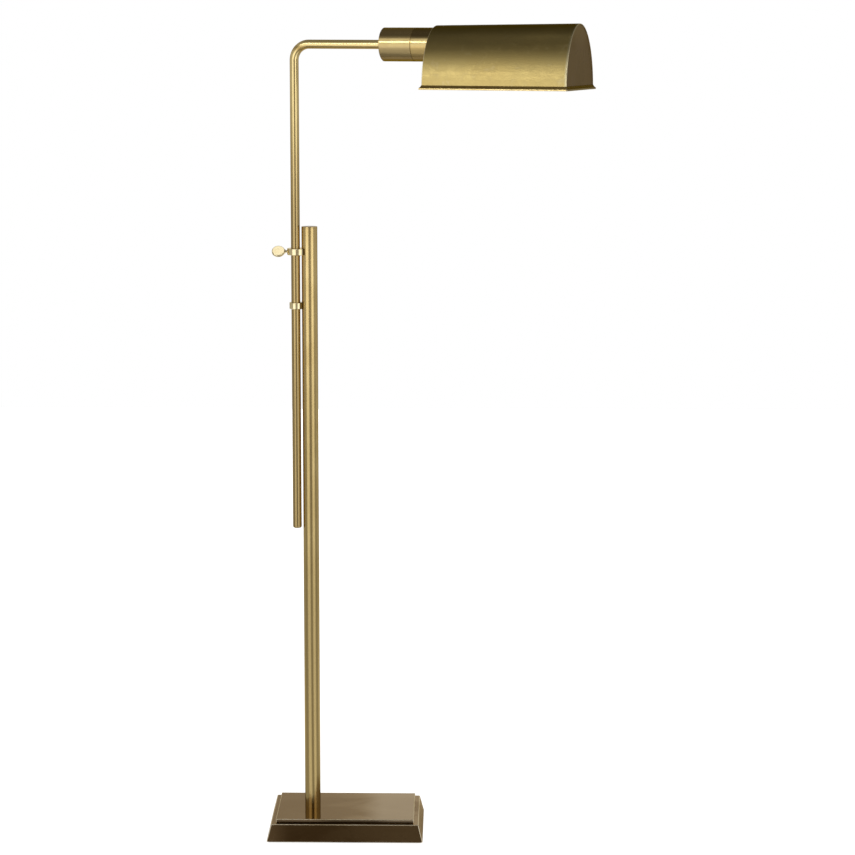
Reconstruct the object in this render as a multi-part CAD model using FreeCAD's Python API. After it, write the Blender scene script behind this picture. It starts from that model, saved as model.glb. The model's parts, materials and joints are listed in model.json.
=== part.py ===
"""Adjustable arm floor lamp: one STEP file per piece, in millimetres.

Frame: +Z up, origin on the floor under the centre of the base, +X towards the side that the
arm reaches over, -Y towards the front. The lamp is drawn with its arm swung a little to the front.
"""

import FreeCAD, Part
import math
import os

Vector = FreeCAD.Vector
X_AXIS = Vector(1, 0, 0)
Y_AXIS = Vector(0, 1, 0)
Z_AXIS = Vector(0, 0, 1)

# Fits
RUNNING_FIT = 0.10  # radial gap of a piece that turns or slides in another
SEAT_GAP = 0.20  # gap of a piece held in a groove or recess
THREAD_FIT = 0.08  # radial gap of the clamp screw in its tapped hole

# Base
BASE_LENGTH = 254.0
BASE_DEPTH = 172.0
CASING_HEIGHT = 27.5
CASING_FLARE = 6.9  # each side leans in this much from bottom to top
CASING_WALL = 1.8
SLAB_LEDGE = 7.6  # step from the casing's top edge in to the slab
SLAB_THICKNESS = 6.3
FELT_THICKNESS = 1.5
FELT_INSET = 3.0
EDGE_ROUND = 0.7
PLATE_THICKNESS = 1.5
PLATE_GAP = 0.6
WEIGHT_GAP = 5.0
PLATE_SCREW_INSET = 24.0
PLATE_SCREW_RADIUS = 2.0
PLATE_SCREW_LENGTH = 9.0
PLATE_SCREW_HEAD_RADIUS = 3.8

# Pole and what holds it on the base
POLE_X = -56.0
POLE_RADIUS = 12.7
POLE_WALL = 1.2
POLE_TOP_Z = 996.3
CAP_THICKNESS = 2.0
CAP_SPIGOT = 8.0
CAP_SPIGOT_WALL = 1.5
PLUG_HEIGHT = 22.0
STUD_RADIUS = 5.0
STUD_REACH = 18.0  # how far the stud goes up into the pole's plug
STUD_HOLE_GAP = 0.3
NUT_POCKET_RADIUS = 17.0
NUT_POCKET_DEPTH = 12.0
WASHER_RADIUS = 14.0
WASHER_THICKNESS = 2.0
NUT_ACROSS_FLATS = 17.0
NUT_HEIGHT = 8.0
STUD_TAIL = 1.2  # thread that shows below the nut

# Rod and arm: one bent tube
ROD_POLE_GAP = 2.6
ROD_RADIUS = 7.15
ROD_WALL = 1.0
ROD_END_Z = 505.5
ARM_Z = 1284.8
BEND_RADIUS = 25.4
ARM_SWING = -20.5  # degrees about the rod, negative towards the front
END_CAP_HEIGHT = 4.5
END_CAP_ROUND = 2.6
END_CAP_SPIGOT = 9.0
CORD_BORE_RADIUS = 3.6
BUSHING_WALL = 0.9
BUSHING_FLANGE = 1.1

# Rings on the pole
RING_HEIGHT = 10.5
RING_CHAMFER = 0.6
CLAMP_RADIUS = 15.75
CLAMP_OFFSET = 2.4  # centre of the clamp's outside, from the rod towards the pole
CLAMP_Z = 956.2
GUIDE_RADIUS = 11.0
GUIDE_OFFSET = 0.8
GUIDE_Z = 869.2
LINER_WALL = 1.0
GUIDE_LIP_HEIGHT = 1.1
GUIDE_LIP_GAP = 0.3

# Clamp screw
SCREW_RADIUS = 2.5
SCREW_NECK_RADIUS = 2.1
PAD_LENGTH = 2.5
PAD_FACE_GAP = 0.1  # drawn just off the rod
SCREW_HEAD_RADIUS = 10.4
SCREW_HEAD_THICKNESS = 4.4
SCREW_HEAD_X = 27.5  # head centre, from the rod
SCREW_HEAD_TURN = 45.0  # degrees that the head's face leans back from upright
SCREW_HEAD_ROUND = 1.0
SCREW_COLLAR_RADIUS = 3.3
SCREW_COLLAR_LENGTH = 2.2

# Socket cup at the arm's end; stations are distances from the rod along the arm
CUP_START = 154.3
CUP_END = 207.0
CUP_RADIUS = 26.25
CUP_WALL = 1.3
CUP_BACK = 2.0
CUP_ROUND = 0.8
END_PLUG_LENGTH = 14.0
NIPPLE_RADIUS = 4.85
NIPPLE_BORE = 3.5
NIPPLE_TAIL = 1.75  # thread that shows past the lock nut
LOCK_WASHER_RADIUS = 8.5
LOCK_WASHER_THICKNESS = 1.0
LOCK_NUT_FLATS = 14.0
LOCK_NUT_HEIGHT = 4.0
BRACKET_THICKNESS = 1.5
BRACKET_WIDTH = 12.0
BRACKET_SPAN = 28.0
BRACKET_DEPTH = 11.0

# Lamp holder and lamp, E26
SOCKET_RADIUS = 18.5
SOCKET_LENGTH = 36.5
SOCKET_FLOOR = 5.0
SHELL_WALL = 0.5
SHELL_GAP = 0.5  # lamp cap to screw shell
LAMP_CAP_RADIUS = 13.1
LAMP_CAP_LENGTH = 23.0
THREAD_PITCH = 3.6
THREAD_DEPTH = 0.6
CONTACT_RADIUS = 4.0
CONTACT_THICKNESS = 2.4
SOCKET_SCREW_RADIUS = 1.5
SOCKET_SCREW_LENGTH = 4.0
SOCKET_SCREW_HEAD = 2.7
SOCKET_SCREW_HEAD_HEIGHT = 1.5
INSULATOR_LENGTH = 3.0
TIP_LENGTH = 1.2
TIP_RADIUS = 4.2
BULB_RADIUS = 16.0
BULB_REACH = 113.0  # glass beyond the lamp cap
BULB_NECK_RADIUS = 12.2
BULB_SHOULDER = 14.0
GLASS_WALL = 0.8

# Swivel between cup and shade
SEAM = 0.5
SEAM_WASHER_INSET = 0.5
SLEEVE_WALL = 2.0
SLEEVE_IN_CUP = 17.0
SLEEVE_IN_NECK = 17.5
SNAP_RING_WIDTH = 1.2
SNAP_RING_FROM_END = 3.0
SNAP_RING_BITE = 0.9  # depth of the ring in the sleeve
SNAP_GROOVE_DEPTH = 0.65  # depth of the groove in the cup
SNAP_RING_OPENING = 24.0  # degrees
BAND_WIDTH = 5.0
BAND_FROM_SEAM = 3.5
BAND_THICKNESS = 0.8

# Shade
SHADE_START = 241.9
SHADE_LENGTH = 232.5
SHADE_HALF_WIDTH = 67.0
SHADE_DROP = 67.5  # arm axis down to the underside of the rim
SHADE_RISE_INNER = 29.6  # arm axis up to the crown, at the neck end
SHADE_RISE_OUTER = 32.6
SHADE_WALL = 1.2
END_PLATE_THICKNESS = 1.2
END_PLATE_RECESS = 1.2
RIM_HEIGHT = 6.8
RIM_NOSE_HEIGHT = 2.5
RIM_REACH = 3.3
RIM_COVE_DEPTH = 0.45
RIM_LEDGE_SPARE = 0.2  # ledge beyond the end plates that stand on it

# Worked out from the above
CASING_TOP_Z = FELT_THICKNESS + CASING_HEIGHT
SLAB_TOP_Z = CASING_TOP_Z + SLAB_THICKNESS
PLATE_TOP_Z = FELT_THICKNESS + PLATE_THICKNESS
WEIGHT_TOP_Z = CASING_TOP_Z - CASING_WALL
NUT_POCKET_TOP_Z = PLATE_TOP_Z + NUT_POCKET_DEPTH
NUT_BOTTOM_Z = NUT_POCKET_TOP_Z - WASHER_THICKNESS - NUT_HEIGHT
ROD_X = POLE_X - POLE_RADIUS - ROD_POLE_GAP - ROD_RADIUS
ROD_BORE = ROD_RADIUS - ROD_WALL
CUP_BORE = CUP_RADIUS - CUP_WALL
BRACKET_START = CUP_START + CUP_BACK + LOCK_WASHER_THICKNESS
SOCKET_START = BRACKET_START + BRACKET_DEPTH
SOCKET_END = SOCKET_START + SOCKET_LENGTH
SHELL_RADIUS = LAMP_CAP_RADIUS + SHELL_GAP + SHELL_WALL
CONTACT_START = SOCKET_START + SOCKET_FLOOR
TIP_START = CONTACT_START + CONTACT_THICKNESS
LAMP_CAP_START = TIP_START + TIP_LENGTH + INSULATOR_LENGTH
LAMP_CAP_END = LAMP_CAP_START + LAMP_CAP_LENGTH
NECK_START = CUP_END + SEAM
SHADE_END = SHADE_START + SHADE_LENGTH
SHELL_BOTTOM = RIM_NOSE_HEIGHT - SHADE_DROP  # heights here are above the arm axis
INNER_PLATE_START = SHADE_START + END_PLATE_RECESS
OUTER_PLATE_START = SHADE_END - END_PLATE_RECESS - END_PLATE_THICKNESS
RIM_LEDGE = END_PLATE_RECESS + END_PLATE_THICKNESS + RIM_LEDGE_SPARE
SLEEVE_START = CUP_END - SLEEVE_IN_CUP
SLEEVE_RADIUS = CUP_BORE - RUNNING_FIT
SLEEVE_BORE = CUP_BORE - SLEEVE_WALL
SNAP_RING_START = SLEEVE_START + SNAP_RING_FROM_END
BAND_START = CUP_END - BAND_FROM_SEAM - BAND_WIDTH


# Helpers


def cylinder(radius, height, base, axis=Z_AXIS):
    return Part.makeCylinder(radius, height, base, axis)


def tube(outer, inner, height, base, axis=Z_AXIS):
    return cylinder(outer, height, base, axis).cut(cylinder(inner, height, base, axis))


def block(length, depth, height, centre_x, centre_y, bottom):
    return Part.makeBox(length, depth, height, Vector(centre_x - length / 2, centre_y - depth / 2, bottom))


def rectangle(length, depth, z):
    x, y = length / 2, depth / 2
    corners = [Vector(-x, -y, z), Vector(x, -y, z), Vector(x, y, z), Vector(-x, y, z)]
    return Part.makePolygon(corners + corners[:1])


def hexagon(across_flats, height, base, axis):
    """A hexagonal prism that starts at base and runs along axis."""
    radius = across_flats / math.sqrt(3)
    sixths = [i * math.pi / 3 for i in range(7)]
    corners = [Vector(radius * math.cos(turn), radius * math.sin(turn), 0) for turn in sixths]
    prism = Part.Face(Part.makePolygon(corners)).extrude(Vector(0, 0, height))
    prism.Placement = FreeCAD.Placement(base, FreeCAD.Rotation(Z_AXIS, axis))
    return prism


def edges_at_z(shape, z):
    return [e for e in shape.Edges if abs(e.BoundBox.ZMin - z) < 1e-4 and abs(e.BoundBox.ZMax - z) < 1e-4]


def edges_at_x(shape, x, radius):
    """The round edges of the given radius that lie in the plane at x."""
    flat = [e for e in shape.Edges if abs(e.BoundBox.XMin - x) < 1e-4 and abs(e.BoundBox.XMax - x) < 1e-4]
    return [e for e in flat if isinstance(e.Curve, Part.Circle) and abs(e.Curve.Radius - radius) < 1e-4]


def on_arm(station, height=0.0, side=0.0):
    """A point of the arm before it is swung: station from the rod, height over the arm's axis."""
    return Vector(station, side, ARM_Z + height)


def along_arm(outer, inner, start, end):
    """A tube, or a bar when inner is 0, round the arm's axis between two stations."""
    bar = cylinder(outer, end - start, on_arm(start), X_AXIS)
    if inner:
        bar = bar.cut(cylinder(inner, end - start, on_arm(start), X_AXIS))
    return bar


def revolve_about_arm(points):
    """Turns a closed outline of (station, radius) points about the arm's axis."""
    outline = [on_arm(station, radius) for station, radius in points]
    face = Part.Face(Part.makePolygon(outline + outline[:1]))
    return face.revolve(on_arm(0), X_AXIS, 360)


def swing(shape):
    """Carries a piece drawn with the rod at the origin and the arm along +X to its place."""
    placed = shape.copy()
    placed.rotate(Vector(0, 0, 0), Z_AXIS, ARM_SWING)
    placed.translate(Vector(ROD_X, 0, 0))
    return placed


# Base


def casing_block(inset, bottom, top):
    """The casing's form, moved in by inset on the sides, between two heights."""

    def section(z):
        lean = CASING_FLARE * (z - FELT_THICKNESS) / CASING_HEIGHT
        return rectangle(BASE_LENGTH - 2 * (lean + inset), BASE_DEPTH - 2 * (lean + inset), z)

    return Part.makeLoft([section(bottom), section(top)], True, True)


def stud_hole(bottom, top):
    return cylinder(STUD_RADIUS + STUD_HOLE_GAP, top - bottom, Vector(POLE_X, 0, bottom))


def base_casing():
    outside = casing_block(0, FELT_THICKNESS, CASING_TOP_Z)
    outside = outside.makeFillet(EDGE_ROUND, edges_at_z(outside, CASING_TOP_Z))
    inside = casing_block(CASING_WALL, FELT_THICKNESS, WEIGHT_TOP_Z)
    return outside.cut(inside).cut(stud_hole(WEIGHT_TOP_Z, CASING_TOP_Z))


def base_slab():
    margin = 2 * (CASING_FLARE + SLAB_LEDGE)
    slab = block(BASE_LENGTH - margin, BASE_DEPTH - margin, SLAB_THICKNESS, 0, 0, CASING_TOP_Z)
    slab = slab.makeFillet(EDGE_ROUND, edges_at_z(slab, SLAB_TOP_Z))
    return slab.cut(stud_hole(CASING_TOP_Z, SLAB_TOP_Z))


def plate_screw_places():
    x = BASE_LENGTH / 2 - PLATE_SCREW_INSET
    y = BASE_DEPTH / 2 - PLATE_SCREW_INSET
    return [Vector(i * x, j * y, FELT_THICKNESS) for i in (-1, 1) for j in (-1, 1)]


def plate_screw(place):
    """A countersunk screw with its head flush with the underside of the bottom plate."""
    head = Part.makeCone(PLATE_SCREW_HEAD_RADIUS, PLATE_SCREW_RADIUS, PLATE_THICKNESS, place)
    return head.fuse(cylinder(PLATE_SCREW_RADIUS, PLATE_SCREW_LENGTH, place)).removeSplitter()


def base_plate_screws():
    return Part.makeCompound([plate_screw(place) for place in plate_screw_places()])


def base_weight():
    weight = casing_block(CASING_WALL + WEIGHT_GAP, PLATE_TOP_Z, WEIGHT_TOP_Z)
    weight = weight.cut(stud_hole(PLATE_TOP_Z, WEIGHT_TOP_Z))
    pocket = cylinder(NUT_POCKET_RADIUS, NUT_POCKET_DEPTH, Vector(POLE_X, 0, PLATE_TOP_Z))
    return weight.cut(pocket).cut(base_plate_screws())


def base_bottom_plate():
    plate = casing_block(CASING_WALL + PLATE_GAP, FELT_THICKNESS, PLATE_TOP_Z)
    return plate.cut(base_plate_screws())


def base_felt():
    return block(BASE_LENGTH - 2 * FELT_INSET, BASE_DEPTH - 2 * FELT_INSET, FELT_THICKNESS, 0, 0, 0)


# Pole


def pole():
    height = POLE_TOP_Z - CAP_THICKNESS - SLAB_TOP_Z
    return tube(POLE_RADIUS, POLE_RADIUS - POLE_WALL, height, Vector(POLE_X, 0, SLAB_TOP_Z))


def pole_cap():
    top = cylinder(POLE_RADIUS, CAP_THICKNESS, Vector(POLE_X, 0, POLE_TOP_Z - CAP_THICKNESS))
    top = top.makeChamfer(EDGE_ROUND, edges_at_z(top, POLE_TOP_Z))
    outer = POLE_RADIUS - POLE_WALL
    bottom = Vector(POLE_X, 0, POLE_TOP_Z - CAP_THICKNESS - CAP_SPIGOT)
    return top.fuse(tube(outer, outer - CAP_SPIGOT_WALL, CAP_SPIGOT, bottom)).removeSplitter()


def pole_plug():
    return tube(POLE_RADIUS - POLE_WALL, STUD_RADIUS, PLUG_HEIGHT, Vector(POLE_X, 0, SLAB_TOP_Z))


def pole_stud():
    bottom = NUT_BOTTOM_Z - STUD_TAIL
    return cylinder(STUD_RADIUS, SLAB_TOP_Z + STUD_REACH - bottom, Vector(POLE_X, 0, bottom))


def pole_washer():
    return tube(WASHER_RADIUS, STUD_RADIUS, WASHER_THICKNESS, Vector(POLE_X, 0, NUT_BOTTOM_Z + NUT_HEIGHT))


def pole_nut():
    bottom = Vector(POLE_X, 0, NUT_BOTTOM_Z)
    nut = hexagon(NUT_ACROSS_FLATS, NUT_HEIGHT, bottom, Z_AXIS)
    return nut.cut(cylinder(STUD_RADIUS, NUT_HEIGHT, bottom))


# Rings on the pole, the liner that turns in one of them, and the clamp screw


def ring_body(radius, offset, middle_z):
    """A chamfered disc beside the pole, hollowed on one side so that it saddles the pole."""
    bottom = middle_z - RING_HEIGHT / 2
    disc = cylinder(radius, RING_HEIGHT, Vector(ROD_X + offset, 0, bottom))
    rims = edges_at_z(disc, bottom) + edges_at_z(disc, bottom + RING_HEIGHT)
    disc = disc.makeChamfer(RING_CHAMFER, rims)
    return disc.cut(cylinder(POLE_RADIUS, RING_HEIGHT, Vector(POLE_X, 0, bottom)))


def upper_clamp():
    body = ring_body(CLAMP_RADIUS, CLAMP_OFFSET, CLAMP_Z)
    bore = cylinder(ROD_RADIUS + RUNNING_FIT, RING_HEIGHT, Vector(ROD_X, 0, CLAMP_Z - RING_HEIGHT / 2))
    tapped = cylinder(SCREW_RADIUS + THREAD_FIT, CLAMP_RADIUS, Vector(ROD_X, 0, CLAMP_Z), -X_AXIS)
    return body.cut(bore).cut(tapped)


def lower_guide():
    body = ring_body(GUIDE_RADIUS, GUIDE_OFFSET, GUIDE_Z)
    bottom = GUIDE_Z - RING_HEIGHT / 2
    through = cylinder(ROD_RADIUS + GUIDE_LIP_GAP, RING_HEIGHT, Vector(ROD_X, 0, bottom))
    pocket_radius = ROD_RADIUS + 2 * RUNNING_FIT + LINER_WALL
    pocket_height = RING_HEIGHT - 2 * GUIDE_LIP_HEIGHT
    pocket = cylinder(pocket_radius, pocket_height, Vector(ROD_X, 0, bottom + GUIDE_LIP_HEIGHT))
    return body.cut(through).cut(pocket)


def guide_liner():
    """The bush that turns in the guide's pocket while the rod slides through it."""
    inner = ROD_RADIUS + RUNNING_FIT
    height = RING_HEIGHT - 2 * (GUIDE_LIP_HEIGHT + SEAT_GAP)
    return tube(inner + LINER_WALL, inner, height, Vector(ROD_X, 0, GUIDE_Z - height / 2))


def screw_point(distance):
    """A point of the clamp screw's axis, at a distance from the rod's axis."""
    return Vector(ROD_X - distance, 0, CLAMP_Z)


def clamp_pad():
    return cylinder(SCREW_RADIUS, PAD_LENGTH, screw_point(ROD_RADIUS + PAD_FACE_GAP), -X_AXIS)


def screw_head():
    """A thick coin with its axis square to the screw, leaning back from upright."""
    lean = math.radians(SCREW_HEAD_TURN)
    facing = Vector(0, -math.cos(lean), math.sin(lean))
    back = screw_point(SCREW_HEAD_X) - facing * (SCREW_HEAD_THICKNESS / 2)
    coin = cylinder(SCREW_HEAD_RADIUS, SCREW_HEAD_THICKNESS, back, facing)
    rims = [e for e in coin.Edges if isinstance(e.Curve, Part.Circle)]
    return coin.makeFillet(SCREW_HEAD_ROUND, rims)


def thumb_screw():
    tip = ROD_RADIUS + PAD_FACE_GAP + PAD_LENGTH
    clamp_face = CLAMP_RADIUS - CLAMP_OFFSET
    shank = cylinder(SCREW_RADIUS, clamp_face - tip, screw_point(tip), -X_AXIS)
    neck = cylinder(SCREW_NECK_RADIUS, SCREW_HEAD_X - clamp_face, screw_point(clamp_face), -X_AXIS)
    head_edge = SCREW_HEAD_X - SCREW_HEAD_RADIUS
    collar_start = screw_point(head_edge - SCREW_COLLAR_LENGTH / 2)
    collar = cylinder(SCREW_COLLAR_RADIUS, SCREW_COLLAR_LENGTH, collar_start, -X_AXIS)
    return shank.fuse([neck, collar, screw_head()]).removeSplitter()


# Rod and arm


def bent_bar(radius, bottom, end):
    """A round bar that rises at the origin, bends over and runs along the arm."""

    def disc(centre, axis):
        return Part.Face(Part.Wire(Part.makeCircle(radius, centre, axis)))

    bend_start = Vector(0, 0, ARM_Z - BEND_RADIUS)
    bend_centre = Vector(BEND_RADIUS, 0, ARM_Z - BEND_RADIUS)
    upright = disc(Vector(0, 0, bottom), Z_AXIS).extrude(Vector(0, 0, bend_start.z - bottom))
    bend = disc(bend_start, Z_AXIS).revolve(bend_centre, Y_AXIS, 90)
    reach = disc(on_arm(BEND_RADIUS), X_AXIS).extrude(Vector(end - BEND_RADIUS, 0, 0))
    return upright.fuse([bend, reach]).removeSplitter()


def arm_tube():
    """The rod, its bend and the arm: one tube."""
    bottom = ROD_END_Z + END_CAP_HEIGHT
    return swing(bent_bar(ROD_RADIUS, bottom, CUP_START).cut(bent_bar(ROD_BORE, bottom, CUP_START)))


def rod_end_cap():
    """The domed cap that closes the rod's lower end, with a spigot inside the tube."""
    cap = cylinder(ROD_RADIUS, END_CAP_HEIGHT, Vector(0, 0, ROD_END_Z))
    cap = cap.makeFillet(END_CAP_ROUND, edges_at_z(cap, ROD_END_Z))
    spigot = cylinder(ROD_BORE, END_CAP_SPIGOT, Vector(0, 0, ROD_END_Z + END_CAP_HEIGHT))
    total = END_CAP_HEIGHT + END_CAP_SPIGOT
    hole = cylinder(CORD_BORE_RADIUS + BUSHING_WALL, total, Vector(0, 0, ROD_END_Z))
    return swing(cap.fuse(spigot).cut(hole).removeSplitter())


def cord_bushing():
    """The insulating bush in the end cap, through which a cord leaves the rod."""
    total = END_CAP_HEIGHT + END_CAP_SPIGOT
    sleeve = cylinder(CORD_BORE_RADIUS + BUSHING_WALL, total, Vector(0, 0, ROD_END_Z))
    flange_bottom = Vector(0, 0, ROD_END_Z + total)
    flange = cylinder(ROD_BORE - SEAT_GAP, BUSHING_FLANGE, flange_bottom)
    bore = cylinder(CORD_BORE_RADIUS, total + BUSHING_FLANGE, Vector(0, 0, ROD_END_Z))
    return swing(sleeve.fuse(flange).cut(bore).removeSplitter())


def arm_end_plug():
    return swing(along_arm(ROD_BORE, NIPPLE_RADIUS, CUP_START - END_PLUG_LENGTH, CUP_START))


def arm_nipple():
    nut_end = BRACKET_START + BRACKET_THICKNESS + LOCK_NUT_HEIGHT
    return swing(along_arm(NIPPLE_RADIUS, NIPPLE_BORE, CUP_START - END_PLUG_LENGTH, nut_end + NIPPLE_TAIL))


# Cup, lamp holder and lamp


def socket_cup():
    cup = along_arm(CUP_RADIUS, 0, CUP_START, CUP_END)
    cup = cup.makeFillet(CUP_ROUND, edges_at_x(cup, CUP_START, CUP_RADIUS))
    cup = cup.cut(along_arm(CUP_BORE, 0, CUP_START + CUP_BACK, CUP_END))
    cup = cup.cut(along_arm(NIPPLE_RADIUS, 0, CUP_START, CUP_START + CUP_BACK))
    groove_start = SNAP_RING_START - SEAT_GAP
    groove_end = SNAP_RING_START + SNAP_RING_WIDTH + SEAT_GAP
    return swing(cup.cut(along_arm(CUP_BORE + SNAP_GROOVE_DEPTH, 0, groove_start, groove_end)))


def cup_washer():
    start = CUP_START + CUP_BACK
    return swing(along_arm(LOCK_WASHER_RADIUS, NIPPLE_RADIUS, start, start + LOCK_WASHER_THICKNESS))


def bracket_strip(start, end, low, high):
    """A piece of the bracket's strip between two stations and two heights."""
    corner = on_arm(start, low, -BRACKET_WIDTH / 2)
    return Part.makeBox(end - start, BRACKET_WIDTH, high - low, corner)


def socket_screw_height():
    return BRACKET_SPAN / 2 - BRACKET_THICKNESS - SOCKET_SCREW_HEAD


def socket_bracket():
    """A strip bent into a flat U: its web sits on the nipple, its turned-in feet carry the lamp holder."""
    half = BRACKET_SPAN / 2
    foot = BRACKET_SPAN / 4
    shape = bracket_strip(BRACKET_START, BRACKET_START + BRACKET_THICKNESS, -half, half)
    pieces = []
    for low, high in ((half - BRACKET_THICKNESS, half), (-half, BRACKET_THICKNESS - half)):
        pieces.append(bracket_strip(BRACKET_START, SOCKET_START, low, high))
    for low, high in ((foot, half), (-half, -foot)):
        pieces.append(bracket_strip(SOCKET_START - BRACKET_THICKNESS, SOCKET_START, low, high))
    shape = shape.fuse(pieces).removeSplitter()
    shape = shape.cut(along_arm(NIPPLE_RADIUS, 0, BRACKET_START, BRACKET_START + BRACKET_THICKNESS))
    return swing(shape.cut(socket_screw_pair()))


def socket_screw_pair():
    """Two pan-head screws from the bracket's feet into the lamp holder, not yet swung."""
    screws = []
    for side in (-1, 1):
        height = side * socket_screw_height()
        foot_back = on_arm(SOCKET_START - BRACKET_THICKNESS, height)
        shank = cylinder(SOCKET_SCREW_RADIUS, SOCKET_SCREW_LENGTH, foot_back, X_AXIS)
        head = cylinder(SOCKET_SCREW_HEAD, SOCKET_SCREW_HEAD_HEIGHT, foot_back, -X_AXIS)
        screws.append(shank.fuse(head).removeSplitter())
    return Part.makeCompound(screws)


def socket_screws():
    return swing(socket_screw_pair())


def cup_nut():
    start = BRACKET_START + BRACKET_THICKNESS
    nut = hexagon(LOCK_NUT_FLATS, LOCK_NUT_HEIGHT, on_arm(start), X_AXIS)
    return swing(nut.cut(along_arm(NIPPLE_RADIUS, 0, start, start + LOCK_NUT_HEIGHT)))


def socket_body():
    body = along_arm(SOCKET_RADIUS, 0, SOCKET_START, SOCKET_END)
    body = body.cut(along_arm(SHELL_RADIUS, 0, CONTACT_START, SOCKET_END))
    return swing(body.cut(socket_screw_pair()))


def threaded_side(radius, start, end):
    """Points along a rolled lamp thread: crests at radius, roots one thread depth lower."""
    turns = int((end - start) / THREAD_PITCH)
    lead_in = (end - start - turns * THREAD_PITCH) / 2
    points = [(start, radius - THREAD_DEPTH)]
    for i in range(turns):
        root = start + lead_in + i * THREAD_PITCH
        points.append((root, radius - THREAD_DEPTH))
        points.append((root + THREAD_PITCH / 2, radius))
    points.append((end - lead_in, radius - THREAD_DEPTH))
    points.append((end, radius - THREAD_DEPTH))
    return points


def socket_shell():
    """The screw shell, a thin sleeve that carries the lamp cap's thread on its inside."""
    inside = threaded_side(LAMP_CAP_RADIUS + SHELL_GAP, CONTACT_START, LAMP_CAP_END - SHELL_GAP)
    end = inside[-1][0]
    return swing(revolve_about_arm(inside + [(end, SHELL_RADIUS), (CONTACT_START, SHELL_RADIUS)]))


def socket_contact():
    """The sprung centre contact, drawn pressed down by the lamp."""
    return swing(along_arm(CONTACT_RADIUS, 0, CONTACT_START, TIP_START))


def lamp_tip():
    return swing(along_arm(TIP_RADIUS, 0, TIP_START, TIP_START + TIP_LENGTH))


def lamp_insulator():
    start = TIP_START + TIP_LENGTH
    cap_inner = LAMP_CAP_RADIUS - THREAD_DEPTH
    cone = Part.makeCone(TIP_RADIUS, cap_inner, INSULATOR_LENGTH, on_arm(start), X_AXIS)
    return swing(cone)


def lamp_cap():
    outside = threaded_side(LAMP_CAP_RADIUS, LAMP_CAP_START, LAMP_CAP_END)
    hollow = [(LAMP_CAP_END, BULB_NECK_RADIUS), (LAMP_CAP_START, BULB_NECK_RADIUS)]
    return swing(revolve_about_arm(outside + hollow))


def bulb_form(radius, neck_radius, start, end):
    """A tubular bulb: neck, shoulder, straight body and round end."""
    shoulder_start = LAMP_CAP_END
    shoulder_end = shoulder_start + BULB_SHOULDER
    body_end = end - radius
    middle = (shoulder_start + shoulder_end) / 2
    half_way = (neck_radius + radius) / 2
    shoulder = Part.BSplineCurve()
    shoulder.interpolate(
        [on_arm(shoulder_start, neck_radius), on_arm(middle, half_way), on_arm(shoulder_end, radius)],
        InitialTangent=X_AXIS,
        FinalTangent=X_AXIS,
    )
    slope = radius * math.sqrt(0.5)
    round_end = Part.Arc(on_arm(body_end, radius), on_arm(body_end + slope, slope), on_arm(end, 0))
    edges = [
        Part.makeLine(on_arm(start, 0), on_arm(start, neck_radius)),
        Part.makeLine(on_arm(start, neck_radius), on_arm(shoulder_start, neck_radius)),
        shoulder.toShape(),
        Part.makeLine(on_arm(shoulder_end, radius), on_arm(body_end, radius)),
        round_end.toShape(),
        Part.makeLine(on_arm(end, 0), on_arm(start, 0)),
    ]
    return Part.Face(Part.Wire(edges)).revolve(on_arm(0), X_AXIS, 360)


def bulb_envelope():
    end = LAMP_CAP_END + BULB_REACH
    glass = bulb_form(BULB_RADIUS, BULB_NECK_RADIUS, LAMP_CAP_START, end)
    start = LAMP_CAP_START + GLASS_WALL
    hollow = bulb_form(BULB_RADIUS - GLASS_WALL, BULB_NECK_RADIUS - GLASS_WALL, start, end - GLASS_WALL)
    return swing(glass.cut(hollow))


# Swivel


def swivel_washer():
    outer = CUP_RADIUS - SEAM_WASHER_INSET
    return swing(along_arm(outer, CUP_BORE, CUP_END, NECK_START))


def swivel_sleeve():
    """Soldered in the neck, turning in the cup, with grooves for the snap ring and the friction band."""
    sleeve = along_arm(SLEEVE_RADIUS, SLEEVE_BORE, SLEEVE_START, NECK_START)
    sleeve = sleeve.fuse(along_arm(CUP_BORE, SLEEVE_BORE, NECK_START, NECK_START + SLEEVE_IN_NECK))
    ring_floor = SLEEVE_RADIUS - SNAP_RING_BITE
    sleeve = sleeve.cut(along_arm(CUP_BORE, ring_floor, SNAP_RING_START, SNAP_RING_START + SNAP_RING_WIDTH))
    band_floor = SLEEVE_RADIUS - BAND_THICKNESS
    sleeve = sleeve.cut(along_arm(CUP_BORE, band_floor, BAND_START, BAND_START + BAND_WIDTH))
    return swing(sleeve.removeSplitter())


def snap_ring():
    """An open spring ring that lies in the sleeve's groove and reaches into the cup's."""
    outer = CUP_BORE + SNAP_GROOVE_DEPTH - SEAT_GAP
    inner = SLEEVE_RADIUS - SNAP_RING_BITE
    ring = along_arm(outer, inner, SNAP_RING_START, SNAP_RING_START + SNAP_RING_WIDTH)
    half_gap = outer * math.sin(math.radians(SNAP_RING_OPENING / 2))
    gap = Part.makeBox(SNAP_RING_WIDTH, 2 * half_gap, CUP_RADIUS, on_arm(SNAP_RING_START, 0, -half_gap))
    return swing(ring.cut(gap))


def friction_band():
    inner = SLEEVE_RADIUS - BAND_THICKNESS
    return swing(along_arm(SLEEVE_RADIUS, inner, BAND_START, BAND_START + BAND_WIDTH))


# Shade


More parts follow.
